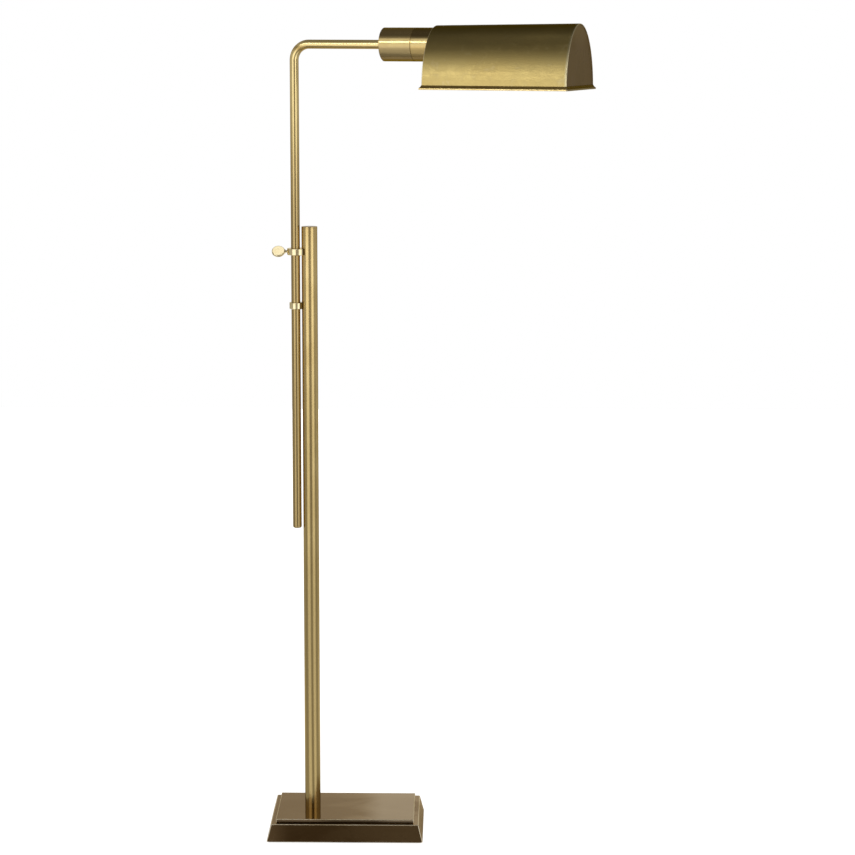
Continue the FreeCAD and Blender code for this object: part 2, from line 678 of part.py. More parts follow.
def shade_profile(station, rise, inset, skirt):
    """Half an ellipse standing on its chord, moved in by inset, with straight sides down by skirt."""
    width = SHADE_HALF_WIDTH - inset
    height = rise - SHELL_BOTTOM - inset
    bottom = SHELL_BOTTOM - skirt
    left, right = on_arm(station, SHELL_BOTTOM, -width), on_arm(station, SHELL_BOTTOM, width)
    crown = on_arm(station, SHELL_BOTTOM + height, 0)
    centre = on_arm(station, SHELL_BOTTOM, 0)
    arch = Part.Ellipse(crown, right, centre)
    quarter_turns = (-math.pi / 2, math.pi / 2)
    edges = [Part.ArcOfEllipse(arch, *quarter_turns).toShape()]
    if skirt:
        low_left, low_right = on_arm(station, bottom, -width), on_arm(station, bottom, width)
        edges.append(Part.makeLine(left, low_left))
        edges.append(Part.makeLine(low_left, low_right))
        edges.append(Part.makeLine(low_right, right))
    else:
        edges.append(Part.makeLine(left, right))
    return Part.Wire(Part.__sortEdges__(edges))


def shade_solid(inset, skirt):
    inner = shade_profile(SHADE_START, SHADE_RISE_INNER, inset, skirt)
    outer = shade_profile(SHADE_END, SHADE_RISE_OUTER, inset, skirt)
    return Part.makeLoft([inner, outer], True, True)


def shade_shell():
    return swing(shade_solid(0, 0).cut(shade_solid(SHADE_WALL, SHADE_WALL)))


def end_plate(start):
    """A flat plate cut to the inside of the shell."""
    width = 2 * SHADE_HALF_WIDTH
    height = SHADE_RISE_OUTER - SHELL_BOTTOM
    slice_box = Part.makeBox(END_PLATE_THICKNESS, width, height, on_arm(start, SHELL_BOTTOM, -width / 2))
    return shade_solid(SHADE_WALL, SHADE_WALL).common(slice_box)


def shade_inner_end():
    plate = end_plate(INNER_PLATE_START)
    opening = along_arm(CUP_BORE, 0, INNER_PLATE_START, INNER_PLATE_START + END_PLATE_THICKNESS)
    return swing(plate.cut(opening))


def shade_outer_end():
    return swing(end_plate(OUTER_PLATE_START))


def shade_neck():
    return swing(along_arm(CUP_RADIUS, CUP_BORE, NECK_START, INNER_PLATE_START))


def rim_section():
    """The moulding's section on the front side: a cove over a round nose, with a ledge inside."""
    middle = (SHADE_START + SHADE_END) / 2
    nose_round = RIM_NOSE_HEIGHT / 2

    def point(out, up):
        return on_arm(middle, up - SHADE_DROP, -SHADE_HALF_WIDTH - out)

    nose_low = point(RIM_REACH - nose_round, 0)
    nose_tip = point(RIM_REACH, nose_round)
    nose_high = point(RIM_REACH - nose_round, RIM_NOSE_HEIGHT)
    cove_top = point(0, RIM_HEIGHT)
    cove_chord = cove_top - nose_high
    inwards = cove_chord.cross(X_AXIS).normalize()
    cove_middle = (nose_high + cove_top) / 2 + inwards * RIM_COVE_DEPTH
    shell_foot = point(0, RIM_NOSE_HEIGHT)
    ledge_top = point(-RIM_LEDGE, RIM_NOSE_HEIGHT)
    ledge_low = point(-RIM_LEDGE, 0)
    edges = [
        Part.makeLine(ledge_low, nose_low),
        Part.Arc(nose_low, nose_tip, nose_high).toShape(),
        Part.Arc(nose_high, cove_middle, cove_top).toShape(),
        Part.makeLine(cove_top, shell_foot),
        Part.makeLine(shell_foot, ledge_top),
        Part.makeLine(ledge_top, ledge_low),
    ]
    return Part.Wire(edges)


def shade_rim():
    """The moulding swept round the shade's mouth with mitred corners."""
    y = SHADE_HALF_WIDTH
    middle = (SHADE_START + SHADE_END) / 2
    stops = [(middle, -y), (SHADE_END, -y), (SHADE_END, y), (SHADE_START, y), (SHADE_START, -y), (middle, -y)]
    corners = [on_arm(station, -SHADE_DROP, side) for station, side in stops]
    path = Part.makePolygon(corners)
    mitred = 1
    return swing(path.makePipeShell([rim_section()], True, False, mitred))


PIECES = [
    base_casing, base_slab, base_weight, base_bottom_plate, base_felt, base_plate_screws,
    pole, pole_cap, pole_plug, pole_stud, pole_washer, pole_nut,
    upper_clamp, lower_guide, guide_liner, clamp_pad, thumb_screw,
    arm_tube, rod_end_cap, cord_bushing, arm_end_plug, arm_nipple,
    socket_cup, cup_washer, cup_nut, socket_bracket, socket_screws,
    socket_body, socket_shell, socket_contact,
    lamp_tip, lamp_insulator, lamp_cap, bulb_envelope,
    swivel_washer, swivel_sleeve, snap_ring, friction_band,
    shade_neck, shade_shell, shade_inner_end, shade_outer_end, shade_rim,
]


def main():
    os.makedirs("parts", exist_ok=True)
    for make in PIECES:
        shape = make()
        shape.exportStep(os.path.join("parts", make.__name__ + ".step"))
        solids, volume = len(shape.Solids), shape.Volume
        print(f"{make.__name__:20s} {solids} solid(s), valid {shape.isValid()}, {volume:.1f} mm3")


main()
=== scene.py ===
"""Adjustable arm floor lamp: its finished brass pieces, and the studio round it."""

import json
import math

import bmesh
import bpy
from mathutils import Matrix, Vector


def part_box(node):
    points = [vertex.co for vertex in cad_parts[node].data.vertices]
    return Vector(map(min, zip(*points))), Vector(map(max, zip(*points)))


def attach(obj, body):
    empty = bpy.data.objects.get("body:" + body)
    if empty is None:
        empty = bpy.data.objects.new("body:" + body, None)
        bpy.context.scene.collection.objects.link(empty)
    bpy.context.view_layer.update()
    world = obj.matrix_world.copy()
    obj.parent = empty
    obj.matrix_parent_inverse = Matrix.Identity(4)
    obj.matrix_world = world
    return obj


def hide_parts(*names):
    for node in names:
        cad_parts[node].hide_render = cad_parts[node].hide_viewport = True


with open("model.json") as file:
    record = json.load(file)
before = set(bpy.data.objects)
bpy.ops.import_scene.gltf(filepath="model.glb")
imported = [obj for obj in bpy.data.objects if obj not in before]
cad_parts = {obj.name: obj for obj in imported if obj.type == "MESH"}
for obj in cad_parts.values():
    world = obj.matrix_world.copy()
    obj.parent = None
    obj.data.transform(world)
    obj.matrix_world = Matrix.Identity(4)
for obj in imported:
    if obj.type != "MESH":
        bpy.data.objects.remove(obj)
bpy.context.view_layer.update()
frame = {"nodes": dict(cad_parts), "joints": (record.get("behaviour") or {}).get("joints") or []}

MM = 0.001
FULL_TURN = 2 * math.pi
ROUND_STEPS = 96  # sides of a turned piece

# Where the lamp's parts are, from the frame
joints = {joint["name"]: joint for joint in frame["joints"]}
ROD_X = joints["rod_swivel"]["pos_m"][0]
ARM_Z = joints["shade_tilt"]["pos_m"][2]
ARM_AXIS = Vector(joints["shade_tilt"]["axis"])
ARM_SWING = math.atan2(ARM_AXIS.y, ARM_AXIS.x)
# Carries a piece drawn along +X, with the rod's axis at the origin, to the arm
ON_ARM = Matrix.Translation((ROD_X, 0, ARM_Z)) @ Matrix.Rotation(ARM_SWING, 4, "Z")


def arm_box(node):
    """Lowest and highest corner of a node, drawn along +X from the rod's axis."""
    back = ON_ARM.inverted()
    points = [back @ vertex.co for vertex in frame["nodes"][node].data.vertices]
    low = Vector([min(point[i] for point in points) for i in range(3)])
    high = Vector([max(point[i] for point in points) for i in range(3)])
    return low, high


# ---------------------------------------------------------------- materials

EVENLY = (1, 1, 1)


def new_material(name):
    material = bpy.data.materials.new(name)
    material.use_nodes = True
    tree = material.node_tree
    tree.nodes.clear()
    shader = tree.nodes.new("ShaderNodeBsdfPrincipled")
    output = tree.nodes.new("ShaderNodeOutputMaterial")
    tree.links.new(shader.outputs["BSDF"], output.inputs["Surface"])
    return material, tree, shader


def set_or_link(tree, socket, value):
    """Sets a socket to a value, or links another node's output to it."""
    if isinstance(value, bpy.types.NodeSocket):
        tree.links.new(value, socket)
    else:
        socket.default_value = value


def add(tree, kind, inputs=None, **settings):
    """A node with its settings, its sockets set to values or linked to other nodes' outputs."""
    node = tree.nodes.new(kind)
    for key, value in settings.items():
        setattr(node, key, value)
    for key, value in (inputs or {}).items():
        set_or_link(tree, node.inputs[key], value)
    return node


def part_of(tree, vector, axis):
    return add(tree, "ShaderNodeSeparateXYZ", {"Vector": vector}).outputs[axis]


def object_place(tree):
    return add(tree, "ShaderNodeTexCoord").outputs["Object"]


def placed(tree, turn=0.0, centre=(0, 0, 0), attribute=None):
    """Object coordinates centred and turned to a piece's own axes, or an attribute's."""
    if attribute:
        return add(tree, "ShaderNodeAttribute", attribute_name=attribute).outputs["Vector"]
    inputs = {"Vector": object_place(tree), "Location": [-c for c in centre]}
    moved = add(tree, "ShaderNodeMapping", inputs).outputs[0]
    return add(tree, "ShaderNodeMapping", {"Vector": moved, "Rotation": (0, 0, -turn)}).outputs[0]


def noise(tree, vector, stretch=EVENLY, scale=50.0, detail=4.0, rough=0.5, bend=0.0):
    scaled = add(tree, "ShaderNodeMapping", {"Vector": vector, "Scale": stretch})
    inputs = {"Vector": scaled.outputs[0], "Scale": scale, "Detail": detail}
    inputs.update({"Roughness": rough, "Distortion": bend})
    return add(tree, "ShaderNodeTexNoise", inputs).outputs["Fac"]


def remap(tree, value, low, high, to_low=0.0, to_high=1.0, kind="SMOOTHSTEP"):
    """A value from low to high turned into one from to_low to to_high, and held beyond them."""
    inputs = {"Value": value, "From Min": low, "From Max": high}
    inputs.update({"To Min": to_low, "To Max": to_high})
    return add(tree, "ShaderNodeMapRange", inputs, interpolation_type=kind).outputs["Result"]


def blend_colour(tree, share, first, second):
    """Mixes two colours, each (red, green, blue) or a node's output, by another node's output."""
    mix = add(tree, "ShaderNodeMix", data_type="RGBA")
    share_socket, first_socket, second_socket = (mix.inputs[i] for i in (0, 6, 7))
    tree.links.new(share, share_socket)
    for socket, colour in ((first_socket, first), (second_socket, second)):
        is_linked = isinstance(colour, bpy.types.NodeSocket)
        set_or_link(tree, socket, colour if is_linked else (*colour, 1.0))
    return mix.outputs[2]


def tint(tree, colour, other, by, stretch, most):
    """Blends another colour in as a value goes through a stretch, up to the greatest share."""
    return blend_colour(tree, remap(tree, by, *stretch, 0, most), colour, other)


def combine(tree, operation, first, second=0.0):
    node = add(tree, "ShaderNodeMath", operation=operation)
    set_or_link(tree, node.inputs[0], first)
    set_or_link(tree, node.inputs[1], second)
    return node.outputs[0]


def add_bump(tree, shader, height, strength, distance):
    inputs = {"Height": height, "Strength": strength, "Distance": distance}
    bump = add(tree, "ShaderNodeBump", inputs)
    tree.links.new(bump.outputs[0], shader.inputs["Normal"])


# How fine the marks on brass are, in marks per metre or so
FINE_LINES = 900
WIDE_LINES = 240
SPECKS = 620
SCUFFS = 120
SCUFFED_PATCHES = 12
# The noise at which each kind of mark begins to show, and is full
LINES_SHOW = (0.35, 0.7)
STAINS_SHOW = (0.56, 0.74)
SPECKS_SHOW = (0.7, 0.8)
SCUFFS_SHOW = (0.58, 0.66)
PATCHES_SHOW = (0.46, 0.60)
STAINS_PER_CLOUD = 3.1
BAND_WAVER = 0.12  # how far the clouds shift a band's edge, as a share of its stretch
LINE_DEPTH = 0.05 * MM


def rub_scuffs(tree, colour, light, base, share):
    """Pale scuffs in patches."""
    marks = noise(tree, base, EVENLY, SCUFFS, detail=2, bend=2.5)
    patches = noise(tree, base, EVENLY, SCUFFED_PATCHES, detail=2)
    marks = remap(tree, marks, *SCUFFS_SHOW, 0, share)
    patches = remap(tree, patches, *PATCHES_SHOW)
    return blend_colour(tree, combine(tree, "MULTIPLY", marks, patches), colour, light)


def paint_underside_shade(tree, colour, base, level, radius, darker, most):
    """Paints shade on the lower side of a level tube, from its bend on."""
    height = part_of(tree, object_place(tree), "Z")
    below = remap(tree, height, level + 0.1 * radius, level - 0.8 * radius, 0, most)
    past_bend = remap(tree, part_of(tree, base, "Z"), -2.5 * radius, 0)
    return blend_colour(tree, combine(tree, "MULTIPLY", below, past_bend), colour, darker)


def brass(
    name,
    light,
    dark,
    stain,
    gloss=(0.2, 0.34),
    lengthways=(0.03, 1, 1),
    turn=0.0,
    centre=(0, 0, 0),
    attribute=None,
    cloud_scale=22.0,
    cloud_share=(0.32, 0.72),
    stain_share=0.55,
    speck_share=0.6,
    line_share=0.22,
    brushing=0.12,
    edge_tint=(0.75, 0.68, 0.5),
    painted_light_and_tone_bands=(),
    painted_underside_shade=None,
    scuffs=0.0,
    lacquer=0.0,
):
    """Rubbed brass: brush lines along the piece, clouds, specks, stains and scuffs, with bands of tone
    and of painted light and shade.

    Lengthways gives the marks' scale along each axis, small along the brushing.
    A piece on the arm gives the arm's turn and centre, and its marks follow its own axes.
    Each band, most of them painted highlight and painted shade, is (axis, where it starts along it,
    where it is full, colour, greatest share).
    The painted underside shade is that of a level tube: (height of its centre, radius, colour, greatest
    share).
    """
    material, tree, shader = new_material(name)
    base = placed(tree, turn, centre, attribute)
    cloud_stretch = [0.45 if s < 1 else 1 for s in lengthways]
    stain_scale = cloud_scale * STAINS_PER_CLOUD
    clouds = noise(tree, base, cloud_stretch, cloud_scale, detail=5, rough=0.55, bend=0.6)
    lines = noise(tree, base, lengthways, FINE_LINES, detail=3, rough=0.6)
    wide_lines = noise(tree, base, lengthways, WIDE_LINES, detail=2)
    stains = noise(tree, base, EVENLY, stain_scale, detail=6, rough=0.62, bend=1.2)
    specks = noise(tree, base, EVENLY, SPECKS, detail=2)

    colour = blend_colour(tree, remap(tree, clouds, *cloud_share), dark, light)
    colour = tint(tree, colour, light, lines, LINES_SHOW, line_share)
    colour = tint(tree, colour, stain, stains, STAINS_SHOW, stain_share)
    colour = tint(tree, colour, stain, specks, SPECKS_SHOW, speck_share)
    if scuffs:
        colour = rub_scuffs(tree, colour, light, base, scuffs)
    # bands along an axis: most are painted light and shade, a few are tone
    for axis, start, full, band_colour, most in painted_light_and_tone_bands:
        reach = BAND_WAVER * abs(full - start)
        wavering = remap(tree, clouds, 0, 1, -reach, reach, "LINEAR")
        along = combine(tree, "ADD", part_of(tree, base, axis), wavering)
        colour = tint(tree, colour, band_colour, along, (start, full), most)
    # painted shade under a level tube
    if painted_underside_shade:
        colour = paint_underside_shade(tree, colour, base, *painted_underside_shade)
    tree.links.new(colour, shader.inputs["Base Color"])

    worn = remap(tree, stains, 0.35, 0.75, *gloss)
    rubbed = remap(tree, wide_lines, 0.3, 0.7, -0.02, 0.03, "LINEAR")
    tree.links.new(combine(tree, "ADD", worn, rubbed), shader.inputs["Roughness"])
    shader.inputs["Metallic"].default_value = 1.0
    shader.inputs["Specular Tint"].default_value = (*edge_tint, 1.0)
    shader.inputs["Coat Weight"].default_value = lacquer
    shader.inputs["Coat Roughness"].default_value = 0.04
    shader.inputs["Coat IOR"].default_value = 1.6
    add_bump(tree, shader, lines, brushing, LINE_DEPTH)
    return material


MOTTLE_SHOWS = (0.3, 0.7)
GRAIN_PER_MOTTLE = 9


def plain(name, first, second, gloss, metal=0.0, scale=120.0, bump=0.1, depth=0.4 * MM, **sockets):
    """A simple workshop finish: two near colours, mottled, with a fine surface."""
    material, tree, shader = new_material(name)
    base = placed(tree)
    mottle = noise(tree, base, scale=scale, detail=5)
    grain = noise(tree, base, scale=scale * GRAIN_PER_MOTTLE, detail=3)
    colour = blend_colour(tree, remap(tree, mottle, *MOTTLE_SHOWS), first, second)
    tree.links.new(colour, shader.inputs["Base Color"])
    tree.links.new(remap(tree, mottle, *MOTTLE_SHOWS, *gloss), shader.inputs["Roughness"])
    shader.inputs["Metallic"].default_value = metal
    for key, value in sockets.items():
        shader.inputs[key.replace("_", " ")].default_value = value
    add_bump(tree, shader, combine(tree, "ADD", mottle, grain), bump, depth)
    return material


# Brushing along a piece's length
ALONG_X = (0.025, 1, 1)
ALONG_Z = (1, 1, 0.025)
AS_THE_ARM = dict(turn=ARM_SWING, centre=(ROD_X, 0, ARM_Z))
RING_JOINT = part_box("pole")[0].x  # the rings are brazed to the pole from here on
SHADE_END = arm_box("shade_shell")[1].x
ROD_RADIUS = arm_box("arm_tube")[1].z

shade_brass = brass(
    "aged_shade_brass_with_painted_light",
    light=(0.79, 0.62, 0.24),
    dark=(0.66, 0.505, 0.185),
    stain=(1.0, 0.85, 0.46),
    gloss=(0.34, 0.44),
    lengthways=ALONG_X,
    cloud_scale=20,
    stain_share=0.4,
    scuffs=0.7,
    edge_tint=(0.45, 0.38, 0.24),
    painted_light_and_tone_bands=[
        # paler towards the outer end: rubbing and a painted highlight
        ("X", SHADE_END - 4.5 * MM, SHADE_END - 0.8 * MM, (1.0, 0.92, 0.56), 0.85),
        # darker towards the crown: partly dulled brass, partly painted shade
        ("Z", -94 * MM, 52 * MM, (0.10, 0.080, 0.033), 0.97),
    ],
    **AS_THE_ARM,
)
plate_brass = brass(
    "aged_end_plate_brass",
    light=(0.33, 0.265, 0.185),
    dark=(0.28, 0.225, 0.15),
    stain=(0.20, 0.155, 0.10),
    gloss=(0.30, 0.42),
    lengthways=(0.7, 0.7, 0.5),
    stain_share=0.3,
    cloud_scale=26,
    edge_tint=(0.4, 0.34, 0.24),
    # painted light, paler towards the top
    painted_light_and_tone_bands=[("Z", -5 * MM, 30 * MM, (0.42, 0.34, 0.21), 0.6)],
    **AS_THE_ARM,
)
moulding_brass = brass(
    "rubbed_moulding_brass",
    light=(0.92, 0.74, 0.37),
    dark=(0.78, 0.60, 0.26),
    stain=(0.50, 0.37, 0.15),
    gloss=(0.18, 0.22),
    lengthways=ALONG_X,
    # painted shade along the shade's outer end
    painted_light_and_tone_bands=[("X", SHADE_END - 0.3 * MM, SHADE_END + 1.2 * MM, (0.27, 0.22, 0.13), 0.93)],
    speck_share=0.0,
    line_share=0.0,
    brushing=0.0,
    **AS_THE_ARM,
)
# A darker copy of the moulding's brass: painted shade in the cove, and the dark seam washer
cove_shade_and_dark_seam_brass = brass(
    "brass_with_painted_cove_shade_and_dark_seam",
    light=(0.36, 0.255, 0.085),
    dark=(0.27, 0.185, 0.055),
    stain=(0.15, 0.10, 0.035),
    gloss=(0.25, 0.35),
    lengthways=ALONG_X,
    edge_tint=(0.3, 0.25, 0.15),
    # painted shade along the shade's outer end
    painted_light_and_tone_bands=[("X", SHADE_END - 0.3 * MM, SHADE_END + 0.5 * MM, (0.30, 0.24, 0.14), 0.93)],
    **AS_THE_ARM,
)
# Round the shell's ends: paler for rubbing and for a painted highlight
shade_end_wear_and_highlight_brass = brass(
    "rubbed_shade_edge_brass_with_painted_highlight",
    light=(1.0, 0.90, 0.60),
    dark=(0.94, 0.82, 0.50),
    stain=(0.6, 0.45, 0.2),
    gloss=(0.30, 0.34),
    stain_share=0.2,
    speck_share=0.0,
    brushing=0.0,
    # painted shade, dimmer towards the top
    painted_light_and_tone_bands=[("Z", -32 * MM, 12 * MM, (0.42, 0.37, 0.24), 0.9)],
    **AS_THE_ARM,
)
shade_inside = brass(
    "unpolished_inside_brass",
    light=(0.74, 0.60, 0.30),
    dark=(0.60, 0.47, 0.22),
    stain=(0.40, 0.30, 0.13),
    gloss=(0.38, 0.5),
    lengthways=ALONG_X,
    **AS_THE_ARM,
)
TURNED = dict(
    light=(0.80, 0.64, 0.30),
    dark=(0.68, 0.52, 0.23),
    stain=(0.50, 0.37, 0.17),
    gloss=(0.15, 0.20),
    lengthways=(1, 0.0, 0.0),
    brushing=0.05,
    cloud_scale=30,
    stain_share=0.3,
    edge_tint=(0.5, 0.42, 0.26),
    **AS_THE_ARM,
)
# On the cup and neck: darker over the top, partly dulled brass and partly painted shade; painted shade
# below the middle and underneath
CUP_TOP_DULLING_AND_SHADE = ("Z", 8 * MM, 15 * MM, (0.29, 0.22, 0.105), 0.95)
CUP_LOWER_SHADE = ("Z", 3 * MM, -5 * MM, (0.35, 0.265, 0.125), 0.92)
CUP_UNDERSIDE_SHADE = ("Z", -17 * MM, -22 * MM, (0.16, 0.11, 0.055), 0.9)
NECK_TOP_DULLING_AND_SHADE = ("Z", 6 * MM, 14 * MM, (0.17, 0.125, 0.055), 0.95)
NECK_LOWER_SHADE = ("Z", 3 * MM, -5 * MM, (0.43, 0.31, 0.12), 0.92)
cup_brass = brass("turned_cup_brass", painted_light_and_tone_bands=[CUP_LOWER_SHADE, CUP_UNDERSIDE_SHADE, CUP_TOP_DULLING_AND_SHADE], **TURNED)
neck_brass = brass("turned_neck_brass", painted_light_and_tone_bands=[NECK_LOWER_SHADE, CUP_UNDERSIDE_SHADE, NECK_TOP_DULLING_AND_SHADE], **TURNED)
pole_brass = brass(
    "drawn_pole_brass",
    light=(0.78, 0.61, 0.29),
    dark=(0.67, 0.50, 0.215),
    stain=(0.44, 0.32, 0.14),
    gloss=(0.20, 0.235),
    lengthways=ALONG_Z,
    cloud_scale=28,
    stain_share=0.3,
    speck_share=0.3,
    edge_tint=(0.45, 0.40, 0.32),
    brushing=0.03,
    # painted shade, darker towards the bottom
    painted_light_and_tone_bands=[("Z", 1000 * MM, 250 * MM, (0.50, 0.38, 0.165), 0.9)],
)
rod_brass = brass(
    "drawn_rod_brass",
    light=(0.95, 0.78, 0.39),
    dark=(0.87, 0.70, 0.33),
    stain=(0.60, 0.44, 0.20),
    # painted shade, darker down the rod
    painted_light_and_tone_bands=[("Z", -50 * MM, -300 * MM, (0.45, 0.33, 0.145), 0.92)],
    # painted shade along the arm's underside
    painted_underside_shade=(ARM_Z, ROD_RADIUS, (0.36, 0.24, 0.075), 0.92),
    gloss=(0.17, 0.20),
    lengthways=ALONG_Z,
    attribute="straight",
    cloud_scale=34,
    stain_share=0.2,
    speck_share=0.0,
    line_share=0.0,
    brushing=0.0,
    edge_tint=(0.45, 0.40, 0.32),
)
POLISHED = dict(
    light=(0.93, 0.82, 0.53),
    dark=(0.86, 0.73, 0.43),
    stain=(0.66, 0.51, 0.27),
    gloss=(0.10, 0.15),
    lengthways=(0.3, 0.3, 1),
    cloud_scale=60,
    stain_share=0.25,
    speck_share=0.2,
    brushing=0.02,
)
ring_brass = brass(
    "polished_ring_brass",
    # painted shadow where the ring meets the pole
    painted_light_and_tone_bands=[("X", RING_JOINT + 1.8 * MM, RING_JOINT + 2.6 * MM, (0.10, 0.07, 0.03), 0.95)],
    **POLISHED,
)
guide_brass = brass(
    "polished_guide_brass",
    # painted shadow where the guide meets the pole
    painted_light_and_tone_bands=[("X", RING_JOINT - 4.0 * MM, RING_JOINT - 1.4 * MM, (0.17, 0.13, 0.065), 0.93)],
    **POLISHED,
)
BROWNED = dict(
    light=(0.46, 0.345, 0.205),
    dark=(0.31, 0.21, 0.11),
    stain=(0.14, 0.088, 0.042),
    gloss=(0.08, 0.13),
    lengthways=(0.6, 1, 1),
    cloud_scale=13,
    cloud_share=(0.42, 0.58),
    stain_share=0.5,
    brushing=0.04,
    edge_tint=(0.75, 0.65, 0.5),
    lacquer=0.3,
)
LEFT_END = ("X", 110 * MM, -70 * MM, (0.235, 0.15, 0.065), 0.8)
RIGHT_END = ("X", 20 * MM, 65 * MM, (0.60, 0.50, 0.36), 0.8)
# painted highlight towards the left end of the casing's front
FRONT_LEFT_HIGHLIGHT = ("X", -85 * MM, -128 * MM, (0.66, 0.50, 0.32), 0.8)
SLAB_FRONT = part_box("base_slab")[0].y
# painted shade along the slab's front edge
SLAB_FRONT_SHADE = ("Y", SLAB_FRONT + 0.6 * MM, SLAB_FRONT + 0.2 * MM, (0.10, 0.065, 0.03), 0.9)
base_bronze = brass("browned_base_bronze", painted_light_and_tone_bands=[LEFT_END], **BROWNED)
front_bronze_with_highlight = brass("browned_front_bronze_painted_highlight", painted_light_and_tone_bands=[LEFT_END, FRONT_LEFT_HIGHLIGHT], **BROWNED)
slab_bronze = brass("browned_slab_bronze", painted_light_and_tone_bands=[LEFT_END, RIGHT_END, SLAB_FRONT_SHADE], **BROWNED)
# A more golden copy of the browned bronze for the leaning flanks: painted sheen
flank_bronze_painted_sheen = brass(
    "browned_flank_bronze_painted_sheen",
    light=(0.46, 0.34, 0.17),
    dark=(0.34, 0.235, 0.11),
    stain=(0.20, 0.13, 0.06),
    gloss=(0.26, 0.32),
    cloud_scale=9,
    edge_tint=(0.75, 0.60, 0.35),
)
# Rubbed edges of the browned base: paler for wear and for a painted highlight
base_edge_wear_and_highlight = brass(
    "rubbed_base_edge_painted_highlight",
    light=(0.95, 0.86, 0.68),
    dark=(0.70, 0.58, 0.38),
    stain=(0.16, 0.10, 0.05),
    gloss=(0.36, 0.40),
    cloud_scale=14,
    stain_share=0.1,
    speck_share=0.0,
    brushing=0.0,
)
plain_brass = brass(
    "machined_brass",
    light=(0.80, 0.64, 0.34),
    dark=(0.70, 0.55, 0.27),
    stain=(0.5, 0.37, 0.18),
    gloss=(0.2, 0.3),
)
cast_iron = plain(
    "cast_iron",
    (0.05, 0.05, 0.05),
    (0.09, 0.09, 0.09),
    (0.55, 0.7),
    metal=0.4,
    scale=90,
    bump=0.5,
    depth=MM,
)
steel = plain("zinc_plated_steel", (0.55, 0.56, 0.58), (0.68, 0.68, 0.68), (0.25, 0.38), 1.0, scale=140)
felt = plain(
    "brown_felt", (0.055, 0.035, 0.02), (0.10, 0.065, 0.04), (0.9, 1.0), scale=300, bump=0.9, depth=MM
)
nylon = plain("natural_nylon", (0.72, 0.70, 0.62), (0.80, 0.78, 0.70), (0.4, 0.5), scale=150)
black_plastic = plain("black_moulded_plastic", (0.02, 0.02, 0.02), (0.035, 0.035, 0.035), (0.4, 0.55))
glaze = plain(
    "white_glaze",
    (0.76, 0.75, 0.71),
    (0.84, 0.83, 0.79),
    (0.12, 0.2),
    scale=60,
    bump=0.05,
    Coat_Weight=0.4,
)
black_glass = plain("black_glass", (0.015, 0.015, 0.018), (0.03, 0.03, 0.035), (0.08, 0.15))
frosted = plain(
    "frosted_lamp_glass",
    (0.86, 0.86, 0.84),
    (0.92, 0.92, 0.90),
    (0.22, 0.3),
    scale=50,
    bump=0.04,
    Transmission_Weight=0.35,
    IOR=1.47,
    Coat_Weight=0.5,
)

# ------------------------------------------------------------------- pieces

UPRIGHT = (0, 0, 1)
ALONG_ARM = (1, 0, 0)
# How near two places are that count as the same, in metres
MERGE_WITHIN = 1e-7
LEVEL_WITHIN = 1e-6
STATION_WITHIN = 1e-5
RADIUS_WITHIN = 1e-4


def finish_piece(name, bm, node, body, slot, materials, on_arm=False, sharp=50, straight=None):
    """Makes the mesh a piece that rides on its body and stands for its CAD node.

    A piece drawn along +X is put on the arm. Where straight is given, it says where each point
    would be on the straight piece, and the material reads that as the attribute of that name.
    """
    if on_arm:
        bmesh.ops.transform(bm, matrix=ON_ARM, verts=bm.verts)
    bmesh.ops.recalc_face_normals(bm, faces=bm.faces)
    mesh = bpy.data.meshes.new(name)
    bm.to_mesh(mesh)
    bm.free()
    for material in materials:
        mesh.materials.append(material)
    mesh.shade_smooth()
    mesh.set_sharp_from_angle(angle=math.radians(sharp))
    if straight:
        along = mesh.attributes.new("straight", "FLOAT_VECTOR", "POINT")
        for vertex in mesh.vertices:
            along.data[vertex.index].vector = straight(vertex.co)
    piece = bpy.data.objects.new(name, mesh)
    bpy.context.scene.collection.objects.link(piece)
    weighted = piece.modifiers.new("even_shading", "WEIGHTED_NORMAL")
    weighted.keep_sharp = True
    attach(piece, body)
    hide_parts(node)


def face_outwards(bm, outward, where=lambda centre: True):
    """Turns an open sheet so that its faces point outwards.

    The outward function gives that side at a face's centre, and where says which faces to ask.
    """
    bmesh.ops.recalc_face_normals(bm, faces=bm.faces)
    asked = [(face, face.calc_center_median()) for face in bm.faces]
    asked = [(face, centre) for face, centre in asked if where(centre)]
    if sum(face.normal.dot(outward(centre)) for face, centre in asked) < 0:
        bmesh.ops.reverse_faces(bm, faces=bm.faces)


def bevel_edges(bm, edges, width, segments=4, material=-1):
    """Rounds edges, the new faces taking a material's index, or with -1 their neighbours'."""
    bmesh.ops.bevel(
        bm,
        geom=list(edges),
        offset=width,
        offset_type="OFFSET",
        affect="EDGES",
        segments=segments,
        profile=0.5,
        material=material,
        clamp_overlap=True,
    )


def turned(outline, axis=ALONG_ARM, steps=ROUND_STEPS):
    """Spins a closed outline of (station, radius) points about the arm's axis or an upright one."""
    bm = bmesh.new()
    points = [(station, 0, radius) for station, radius in outline]
    if axis == UPRIGHT:
        points = [(radius, 0, station) for station, radius in outline]
    start = [bm.verts.new(point) for point in points]
    ring = [bm.edges.new(pair) for pair in zip(start, start[1:] + start[:1])]
    bmesh.ops.spin(
        bm,
        geom=start + ring,
        cent=(0, 0, 0),
        axis=axis,
        angle=FULL_TURN,
        steps=steps,
        use_merge=True,
        use_normal_flip=False,
        use_duplicate=False,
    )
    bmesh.ops.remove_doubles(bm, verts=bm.verts, dist=MERGE_WITHIN)
    return bm


